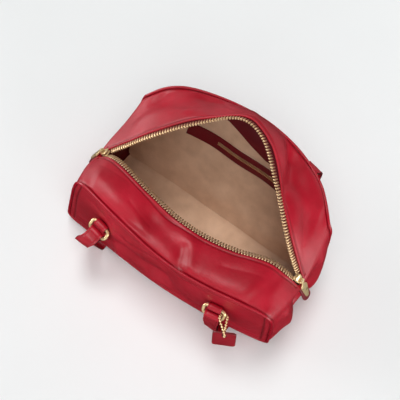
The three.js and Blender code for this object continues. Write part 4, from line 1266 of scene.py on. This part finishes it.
# %% Pulls and their leather tabs
def pull_mesh():
    bm = bmesh.new()
    inner, outer_radius, half = PULL["bore"], PULL["eye"], PULL["eye_width"] / 2
    rim = [(inner, -half), (outer_radius - 0.3, -half), (outer_radius, -half + 0.3),
           (outer_radius, half - 0.3), (outer_radius - 0.3, half), (inner, half)]
    verts = [bm.verts.new((x * MM, y * MM, 0)) for x, y in rim]
    edges = [bm.edges.new((verts[i - 1], verts[i])) for i in range(len(verts))]
    bmesh.ops.spin(bm, geom=verts + edges, cent=(0, 0, 0), axis=(0, 1, 0), angle=2 * math.pi, steps=20,
                   use_merge=True)
    bmesh.ops.recalc_face_normals(bm, faces=bm.faces)
    length, width, neck = PULL["length"], PULL["width"] / 2, PULL["eye_width"] / 2
    tip = PULL["width"] / 4
    shoulder = [(length * 0.16, -neck), (length * 0.2, -neck - 1.2), (length * 0.26, -width + 0.5),
                (length * 0.31, -width + 0.1), (length * 0.36, -width)]
    under = [(1.6, -neck), *shoulder]
    upper = [(x, -y) for x, y in reversed(under)]
    outline = [*under, *arc(length - tip, 0, tip, -80, 80, 10), *upper]
    thick = PULL["thickness"] / 2
    plate(bm, outline, -thick, thick, 0.5, 3)
    return bm


def pull_tab_mesh():
    bm = bmesh.new()
    start, stop, half = PULL_TAB["from"], PULL_TAB["to"], PULL_TAB["width"] / 2
    outline = [(start, -half), *arc(stop - half, 0, half, -90, 90, 16), (start, half)]
    top = -PULL["thickness"] / 2 - CLEARANCE
    plate(bm, outline, top - PULL_TAB["thickness"], top, 0.4, 2)
    return bm


for side, matrix in slider_frames.items():
    turned = (matrix @ Matrix.Translation((PIN_X * MM, 0, PIN_Z * MM))
              @ Matrix.Rotation(math.radians(PULL["droop"]), 4, "Y"))
    for name, bm, material, node, slot in (
        (f"pull_{side}_leaf", pull_mesh(), brass, f"zip_pull_{side}", "brass"),
        (f"pull_{side}_tab", pull_tab_mesh(), tab_leather, f"pull_leather_{side}", "edge_leather"),
    ):
        bmesh.ops.transform(bm, matrix=turned, verts=bm.verts)
        made = piece(name, bm, [material], [node], body=f"pull_{side}")
        sharpened(made)
        print(made.name, len(made.data.polygons), "faces")

# %% [markdown]
# ## Rings and their tabs
#
# A strip of leather is folded round each brass ring and sewn to the panel. In the frame of a handle
# end x runs along the bag, y up the panel and z out of it. The four ends could be modelled one by
# one. With a frame for each, one shape serves all four, and only the table below differs.

# %% Handle ends
LOOP_BORE, LOOP_LEATHER = 2.25, 1.8
LOOP_RADIUS = LOOP_BORE + LOOP_LEATHER
TAB_STAND = 0.6
LOOP_Y, LOOP_Z = 2.0, TAB_STAND + LOOP_RADIUS
RING = {"wire": 3.6, "width": 28, "depth": 15, "corner": 4}
# Name, panel, place on it, ring's lift, strap's way out, then the strap's reach, drift, belly and toe
HANDLE_ENDS = [
    ("front_left", "front_panel", 0.2, 0.7, -45, -8, 11, -18, 20, 12),
    ("front_right", "front_panel", 0.77, 0.72, -55, -75, 4, 0, 23, 13),
    ("back_left", "back_panel", 0.83, 0.6, -30, -60, 6, -3, 40, 19),
    ("back_right", "back_panel", 0.25, 0.8, 25, -20, 6, 3, 46, 19),
]


def model_surface(panel, u, v):
    u, v = np.array([float(u)]), np.array([float(v)])
    out = normal_at(plain[panel], u, v)
    return (plain[panel](u, v) + out * main_relief(panel, u, v)[:, None])[0]


def handle_frame(panel, u, v):
    across = model_surface(panel, u + STEP, v) - model_surface(panel, u - STEP, v)
    upward = model_surface(panel, u, v + STEP) - model_surface(panel, u, v - STEP)
    normal = unit(np.cross(across, upward))
    along = unit(across * [1, 1, 0])
    level = unit(along - normal * (along @ normal))
    axes = np.column_stack([level, np.cross(normal, level), normal])
    return axes, model_surface(panel, u, v) + normal * LEATHER / 2


def out_of_panel(degrees):
    return np.array([0, math.sin(math.radians(degrees)), math.cos(math.radians(degrees))])


ends = {}
for name, panel, u, v, lift, leave, reach, drift, belly, toe in HANDLE_ENDS:
    axes, origin = handle_frame(panel, u, v)
    far_side = np.array([0, LOOP_Y, LOOP_Z]) + out_of_panel(lift) * (RING["depth"] - RING["wire"])
    ends[name] = {"axes": axes, "origin": origin, "reach_out": out_of_panel(lift), "far_side": far_side,
                  "ring_out": out_of_panel(lift + 90), "strap_out": out_of_panel(leave),
                  "reach": reach, "drift": drift, "belly": belly, "toe": toe}
    print(name, "at", origin.round(1))


def in_frame(end, points):
    return end["origin"] + np.asarray(points, dtype=float) @ end["axes"].T


# %% Brass rings
def ring_path(end):
    half, far, corner = (RING["width"] - RING["wire"]) / 2, RING["depth"] - RING["wire"], RING["corner"]
    aside, top = half - corner, far - corner
    flat = [*arc(aside, corner, corner, -90, 0), *arc(aside, top, corner, 0, 90),
            *arc(-aside, top, corner, 90, 180), *arc(-aside, corner, corner, 180, 270)]
    points = np.array([[x, LOOP_Y, LOOP_Z] + end["reach_out"] * y for x, y in flat])
    return spaced(in_frame(end, points), 96, closed=True)[0]


for name, end in ends.items():
    made = piece(f"ring_{name}_wire", tube(ring_path(end), RING["wire"] / 2, 14), [brass],
                 [f"ring_{name}"])
    print(made.name, len(made.data.polygons), "faces")

# %% [markdown]
# A strap or a tab is a ribbon: a grid laid along a path, thick, with rounded and painted edges. An
# Array and a Curve modifier could bend a flat band, but would stretch it in tight turns. Paths are
# smooth curves through a few points, as a bent strip of leather would lie.

# %% Curves and ribbons
def curve_points(points, per_span, closed=False):
    points = np.asarray(points, dtype=float)
    if closed:
        padded = np.vstack([points[-1:], points, points[:2]])
    else:
        padded = np.vstack([2 * points[:1] - points[1:2], points, 2 * points[-1:] - points[-2:-1]])
    made = []
    t = np.linspace(0, 1, per_span, endpoint=False)[:, None]
    for p0, p1, p2, p3 in zip(padded, padded[1:], padded[2:], padded[3:]):
        d0, d1, d2 = [np.linalg.norm(b - a) ** 0.5 for a, b in ((p0, p1), (p1, p2), (p2, p3))]
        leave = d1 * ((p1 - p0) / d0 - (p2 - p0) / (d0 + d1) + (p2 - p1) / d1)
        arrive = d1 * ((p2 - p1) / d1 - (p3 - p1) / (d1 + d2) + (p3 - p2) / d2)
        made.append(p1 + leave * t + (3 * (p2 - p1) - 2 * leave - arrive) * t**2
                    + (2 * (p1 - p2) + leave + arrive) * t**3)
    if not closed:
        made.append(points[-1:])
    return np.vstack(made)


RIBBON_ROWS = np.array([0, 0.05, 0.1, 0.13, 0.16, 0.25, 0.4, 0.6, 0.75, 0.84, 0.87, 0.9, 0.95, 1])
RIBBON_GROOVE = np.array([0, 0, 0, -0.2, 0, 0.1, 0.2, 0.2, 0.1, 0, -0.2, 0, 0, 0])


def ribbon(name, points, widths, outs, width, thickness, nodes, edge=0.55):
    last = len(points) - 1

    def place(u, v):
        row = np.rint(u * last).astype(int)
        level = np.rint(v * (len(RIBBON_ROWS) - 1)).astype(int)
        side = (RIBBON_ROWS[level] - 0.5) * width
        return points[row] + widths[row] * side[:, None] + outs[row] * RIBBON_GROOVE[level][:, None]

    made = piece(name, laid_grid(last, len(RIBBON_ROWS) - 1, place), [red_leather, red_leather, edge_paint],
                 nodes)
    thicken(made, thickness, offset=0, rim=2)
    round_edges(made, edge)
    return made


print("a ribbon is", len(RIBBON_ROWS) - 1, "faces wide")

# %% Ring tabs
TAB_LAYER, TAB_GAP = 1.1, 0.1
TAB_LENGTH, TAB_WIDTH = 30, 16
TAB_STITCH_INSET, TAB_STITCH_PITCH = 2.2, 2.8
TAB_STITCH_TOP, TAB_STITCH_FOOT = -10, -28
TAB_SAMPLES = 20


def tab_path():
    inner, loop = TAB_STAND + TAB_LAYER / 2, LOOP_RADIUS - TAB_LAYER / 2
    outer_leg = inner + TAB_LAYER + TAB_GAP
    arch = [(LOOP_Y + loop * math.sin(t), LOOP_Z - loop * math.cos(t))
            for t in np.radians([0, 30, 60, 90, 120, 150, 180])]
    flat = [(-TAB_LENGTH, inner), (-20, inner), (-10, inner), (-3, inner), *arch,
            (LOOP_Y - 3.4, LOOP_Z + 2.3), (LOOP_Y - 6, LOOP_Z - 0.6), (-7.5, outer_leg + 0.2),
            (-12, outer_leg), (-20, outer_leg), (-TAB_LENGTH, outer_leg)]
    return np.array([[0, y, z] for y, z in flat])


for name, end in ends.items():
    points = curve_points(in_frame(end, tab_path()), 6)
    widths = np.tile(end["axes"][:, 0], (len(points), 1))
    outs = unit(np.cross(directions(points), widths))
    made = ribbon(f"ring_tab_{name}_fold", points, widths, outs, TAB_WIDTH, TAB_LAYER,
                  [f"ring_tab_{name}"], edge=0.3)
    bm = bmesh.new()
    height = TAB_STAND + 2 * TAB_LAYER + TAB_GAP
    half, top, foot = TAB_WIDTH / 2 - TAB_STITCH_INSET, TAB_STITCH_TOP, TAB_STITCH_FOOT
    outward = np.tile(end["axes"][:, 2], (TAB_SAMPLES, 1))
    for row in ([(-half, top), (-half, foot)], [(half, top), (half, foot)], [(-half, foot), (half, foot)],
                [(-half, top), (half, top)]):
        line = in_frame(end, [[x, y, height] for x, y in row])
        line = line[0] + (line[1] - line[0]) * np.linspace(0, 1, TAB_SAMPLES)[:, None]
        stitch_row(bm, line, outward, pitch=TAB_STITCH_PITCH)
    piece(f"ring_tab_{name}_stitches", bm, [red_thread], [f"ring_tab_{name}"])
    print(made.name, len(made.data.polygons), "faces")

# %% [markdown]
# ## Straps
#
# Each strap is one band. Its ends are folded round the rings and sewn back under themselves. From
# a ring it goes out and down, lies flat under the base and comes up to the other ring. A rope
# simulation could let it fall, but would land differently with every change. A few points for each
# leg, each with the band's turn there, keep it where it lies.

# %% The way of a strap
STRAP_WIDTH, STRAP_THICKNESS = 18, 2.6
STRAP_LAYER = 2.0
LOOP_EDGE = LOOP_BORE + LOOP_LEATHER / 2
LOOP_STEPS = 22
# How far inside the base's edge, how far aside, and the band's turn
STRAP_TUCK = [(4, 0, 0), (12, 1, 10), (26, 9, 45), (34, 24, 80), (35, 34, 90)]


def strap_leg(name, out):
    end = ends[name]
    past = lambda distance: in_frame(end, [end["far_side"] + end["strap_out"] * distance])[0]
    root, away = past(LOOP_EDGE), past(LOOP_EDGE + 0.6 * end["reach"])
    bend = away[1] + out * 0.4 * end["reach"]
    inward = 1 if name.endswith("left") else -1
    base_line = front_base if out < 0 else back_base
    foot = at_end(base_line, 0.2 if inward > 0 else 0.8)[1]
    along = lambda part: root[0] + part * end["drift"]
    x, flat = along(1), STRAP_THICKNESS / 2
    level = end["axes"][:, 0] * (1 if out < 0 else -1)
    turn = inward * out * math.degrees(math.atan2(level[1], level[0]))
    fall = [
        (root, turn), (away, turn), ((along(0.35), bend, away[2] - 6), turn / 2),
        ((along(0.6), bend, away[2] - 16), 0), ((x, foot + out * end["belly"], root[2] * 0.5), 0),
        ((x, foot + out * end["toe"], 18), 0), ((x, foot + out * 7.5, flat + 1.8), 0),
        ((x, foot + out * 3.5, flat), 0),
    ]
    return fall + [((x + inward * aside, foot - out * inside, flat), turned)
                   for inside, aside, turned in STRAP_TUCK]


def loop_arc(end, out_side):
    centre = in_frame(end, [end["far_side"]])[0]
    ahead = end["axes"] @ end["strap_out"]
    lean = math.degrees(math.asin(STRAP_LAYER / 2 / LOOP_EDGE))
    turns = np.radians(np.linspace(-lean, -360 + lean, LOOP_STEPS))[:, None]
    return centre + LOOP_EDGE * (np.cos(turns) * ahead + np.sin(turns) * out_side)


print("a strap's leg has", len(strap_leg("front_left", -1)), "points")

# %% Straps
FOLD_LENGTH, FOLD_EASE = 24, 6
STRAP_STEPS = 16
STRAP_STITCH_INSET, STRAP_STITCH_PITCH = 2.4, 3.6
for side, out in (("front", -1), ("back", 1)):
    left, right = strap_leg(f"{side}_left", out), strap_leg(f"{side}_right", out)
    route = left + [(point, 180 - turn) for point, turn in reversed(right)]
    path = curve_points([point for point, _ in route], STRAP_STEPS)
    path[:, 2] = np.maximum(path[:, 2], STRAP_THICKNESS / 2)
    at = np.arange(len(path)) / STRAP_STEPS
    angle = np.radians(np.interp(at, np.arange(len(route)), [turn for _, turn in route])) * out
    widths = np.stack([np.cos(angle), np.sin(angle), np.zeros(len(angle))], axis=-1)
    outs = unit(np.cross(directions(path), widths)) * -out
    run = run_along(path)
    near = np.minimum(run, run[-1] - run)
    raised = STRAP_LAYER / 2 * (1 - smooth((near - FOLD_LENGTH) / FOLD_EASE))
    main = path + outs * raised[:, None]
    folded = path - outs * (STRAP_LAYER / 2 + 0.05)
    head, tail = run < FOLD_LENGTH, run > run[-1] - FOLD_LENGTH
    pieces = [
        (folded[head][::-1], widths[head][::-1], -outs[head][::-1]),
        (loop_arc(ends[f"{side}_left"], outs[0]), np.tile(widths[0], (LOOP_STEPS, 1)), None),
        (main, widths, outs),
        (loop_arc(ends[f"{side}_right"], outs[-1])[::-1], np.tile(widths[-1], (LOOP_STEPS, 1)), None),
        (folded[tail][::-1], widths[tail][::-1], -outs[tail][::-1]),
    ]
    points = np.vstack([rows for rows, _, _ in pieces])
    across = np.vstack([rows for _, rows, _ in pieces])
    facing = unit(np.cross(directions(points), across)) * -out
    made = ribbon(f"strap_{side}_band", points, across, facing, STRAP_WIDTH, STRAP_LAYER,
                  [f"strap_{side}"])
    bm = bmesh.new()
    for edge in (-1, 1):
        aside = STRAP_WIDTH / 2 - STRAP_STITCH_INSET
        row = main + widths * edge * aside + outs * (STRAP_LAYER / 2 - 0.1)
        stitch_row(bm, row, outs, pitch=STRAP_STITCH_PITCH)
    piece(f"strap_{side}_stitches", bm, [red_thread], [f"strap_{side}"])
    print(made.name, round(run[-1]), "mm between its rings")

# %% [markdown]
# ## Fob and chain
#
# A bare leather tag with painted edges hangs from the front right ring on a loop of brass beads. The
# hole could be cut with a boolean. Filling the space between two outlines gives it a clean rim. The
# chain is a thin wire with a ball at every step: its links are too small to be seen as links.

# %% Fob
FOB = {"width": 26, "height": 33, "thickness": 2.2, "corner": 4, "hole": 2.7, "drop": 6.5}
FOB_PLACE = (95, -86, 99)
FOB_YAW, FOB_LEAN = 28, 10
fob_matrix = (Matrix.Translation(Vector(to_frame(FOB_PLACE)))
              @ Matrix.Rotation(math.radians(FOB_YAW), 4, "Z")
              @ Matrix.Rotation(math.radians(90 - FOB_LEAN), 4, "X"))


def fob_mesh():
    bm = bmesh.new()
    half, corner, foot = FOB["width"] / 2 - FOB["corner"], FOB["corner"], FOB["corner"] - FOB["height"]
    outline = [*arc(half, -corner, corner, 0, 90), *arc(-half, -corner, corner, 90, 180),
               *arc(-half, foot, corner, 180, 270), *arc(half, foot, corner, 270, 360)]
    hole = arc(0, -FOB["drop"], FOB["hole"], 0, 360, 24)[:-1]
    edges = []
    for loop in (outline, hole):
        verts = [bm.verts.new((x * MM, y * MM, -FOB["thickness"] / 2 * MM)) for x, y in loop]
        edges += [bm.edges.new((verts[i - 1], verts[i])) for i in range(len(verts))]
    bmesh.ops.triangle_fill(bm, use_beauty=True, use_dissolve=False, edges=edges, normal=(0, 0, 1))
    raised = bmesh.ops.extrude_face_region(bm, geom=list(bm.faces))["geom"]
    top = [item for item in raised if isinstance(item, bmesh.types.BMVert)]
    bmesh.ops.translate(bm, verts=top, vec=(0, 0, FOB["thickness"] * MM))
    bmesh.ops.recalc_face_normals(bm, faces=bm.faces)
    rims = [edge for edge in bm.edges if edge.calc_face_angle(0) > math.radians(60)]
    bmesh.ops.bevel(bm, geom=rims, offset=0.45 * MM, affect="EDGES", segments=3, profile=0.5, material=-1)
    bm.normal_update()
    for face in bm.faces:
        face.material_index = 0 if abs(face.normal.z) > 0.99 else 1
    bmesh.ops.transform(bm, matrix=fob_matrix, verts=bm.verts)
    return bm


fob = piece("fob_tag", fob_mesh(), [fob_leather, edge_paint], ["leather_fob"])
sharpened(fob, 50)
print(fob.name, len(fob.data.polygons), "faces")

# %% Bead chain
BEAD_RADIUS, LINK_RADIUS = 1.35, 0.5
BEAD_PITCH, CHAIN_HALF = 3.3, 1.6
CHAIN_RING, CHAIN_FOB = RING["wire"] / 2 + CHAIN_HALF + 0.4, FOB["thickness"] / 2 + CHAIN_HALF + 0.8
carrier = ends["front_right"]
ring_end = (np.array([(RING["width"] - RING["wire"]) / 2, LOOP_Y, LOOP_Z])
            + carrier["reach_out"] * (RING["depth"] - RING["wire"]) / 2)
round_ring = [(-0.9, 1.35), (-1.05, 0.2), (-0.75, -0.8), (0, -1.1), (0.75, -0.8), (1.05, 0.2)]
at_fob = [(9, -1), (2.5, -0.9), (-0.7, 0), (2.5, 0.9), (9, 1)]
over_ring = in_frame(carrier, [ring_end + (np.array([x, 0, 0]) + carrier["ring_out"] * y) * CHAIN_RING
                               for x, y in round_ring])
through_fob = [fob_matrix @ Vector((0, (y - FOB["drop"]) * MM, z * CHAIN_FOB * MM)) for y, z in at_fob]
through_fob = np.array(through_fob) / MM - SHIFT
chain = curve_points(np.vstack([over_ring, through_fob]), 24, closed=True)
_, chain_length = spaced(chain, 10, closed=True)
bead_count = round(chain_length / BEAD_PITCH)
beads, _ = spaced(chain, bead_count, closed=True)
bm = tube(spaced(chain, 160, closed=True)[0], LINK_RADIUS, 6)
for bead in beads:
    bmesh.ops.create_uvsphere(bm, u_segments=12, v_segments=8, radius=BEAD_RADIUS * MM,
                              matrix=Matrix.Translation(Vector(to_frame(bead))))
made = piece("fob_bead_chain", bm, [brass], ["fob_chain"])
print(made.name, bead_count, "beads over", round(chain_length), "mm")

# %% [markdown]
# ## Lining and pocket
#
# A tan twill lining is stretched over the back panel, with a leather facing along its top edge. A
# leather welt is sewn on it, with a short closed zip along its middle. Cloth could be simulated, but
# a stretched lining just follows its panel, so it is the panel's own surface, a little deeper. The
# facing and the welt lie on it in the same way, each a little deeper again.

# %% Lining
LINING_CLOTH = 1.0
LINING_DEPTH = (LEATHER + LINING_CLOTH) / 2 + 0.5
LINING_U, LINING_V = (0.008, 0.992), (0.013, 0.987)


def along_span(span, t):
    return span[0] + (span[1] - span[0]) * t


def inside_back(u, v, depth):
    out = normal_at(plain["back_panel"], u, v)
    height = main_relief("back_panel", u, v) + fine_relief("back_panel", u, v)
    return softened(plain["back_panel"](u, v) + out * (height - depth)[:, None])


def lining_place(t, w):
    u, v = along_span(LINING_U, t), along_span(LINING_V, w)
    return inside_back(u, v, LINING_DEPTH)


lining = piece("back_lining_cloth", laid_grid(130, 80, lining_place, (270, 156)), [lining_cloth],
               ["lining_back"])
thicken(lining, LINING_CLOTH, offset=0)
print(lining.name, len(lining.data.polygons), "faces")

# %% Facing
FACING_LOW, FACING_RISE = 0.72, 0.6
FACING_FROM, FACING_SPAN = 0.41, 0.22
FACING_LEATHER = 1.0


def facing_place(t, w):
    u = along_span(LINING_U, t)
    low = FACING_LOW + FACING_RISE * np.clip(u - FACING_FROM, 0, FACING_SPAN)
    v = low + (LINING_V[1] - low) * w
    return inside_back(u, v, LINING_DEPTH + 1.1)


facing_band = piece("back_facing_leather", laid_grid(130, 24, facing_place), [tab_leather],
                    ["lining_back"])
thicken(facing_band, FACING_LEATHER, offset=0)
round_edges(facing_band, 0.3)
print(facing_band.name, len(facing_band.data.polygons), "faces")

# %% Pocket welt and zip
WELT_LEATHER = 1.4
WELT_DEPTH = LINING_DEPTH + (LINING_CLOTH + WELT_LEATHER) / 2 + 0.5
WELT_U, WELT_V = (0.24, 0.78), (0.55, 0.67)
SLOT_U, SLOT_V = (0.33, 0.63), (0.6, 0.63)
SLOT_DIP, SLOT_STEEP_U, SLOT_STEEP_V = 0.6, 60, 90
POCKET_PITCH, POCKET_SAMPLES = 1.7, 60
POCKET_TOOTH = (0.75, 0.7, 0.6, 1)


def welt_place(t, w):
    u, v = along_span(WELT_U, t), along_span(WELT_V, w)
    slot = smooth((u - SLOT_U[0]) * SLOT_STEEP_U) * smooth((SLOT_U[1] - u) * SLOT_STEEP_U)
    slot *= smooth((v - SLOT_V[0]) * SLOT_STEEP_V) * smooth((SLOT_V[1] - v) * SLOT_STEEP_V)
    return inside_back(u, v, WELT_DEPTH - SLOT_DIP * slot)


welt = piece("pocket_welt_leather", laid_grid(110, 40, welt_place), [tab_leather, flesh_side],
             ["pocket_welt"])
thicken(welt, WELT_LEATHER, offset=0)
round_edges(welt, 0.4)
middle = np.full(POCKET_SAMPLES, sum(SLOT_V) / 2)
run = np.linspace(*SLOT_U, POCKET_SAMPLES)
line = inside_back(run, middle, WELT_DEPTH + 0.9)
inside = -normal_at(plain["back_panel"], run, middle)
count = int(steps_along(line).sum() / POCKET_PITCH)
places, _ = spaced(line, count)
outs = spaced_with(line, inside, count)
matrices = [basis(np.cross(forward, out), out, point) @ Matrix.Diagonal(POCKET_TOOTH)
            for point, out, forward in zip(places, outs, directions(places))]
pocket_zip = piece("pocket_zip_row", scatter(tooth_template, matrices), [tooth_brass], ["pocket_zip"])
print(welt.name, "and", pocket_zip.name, "with", count + 1, "teeth")
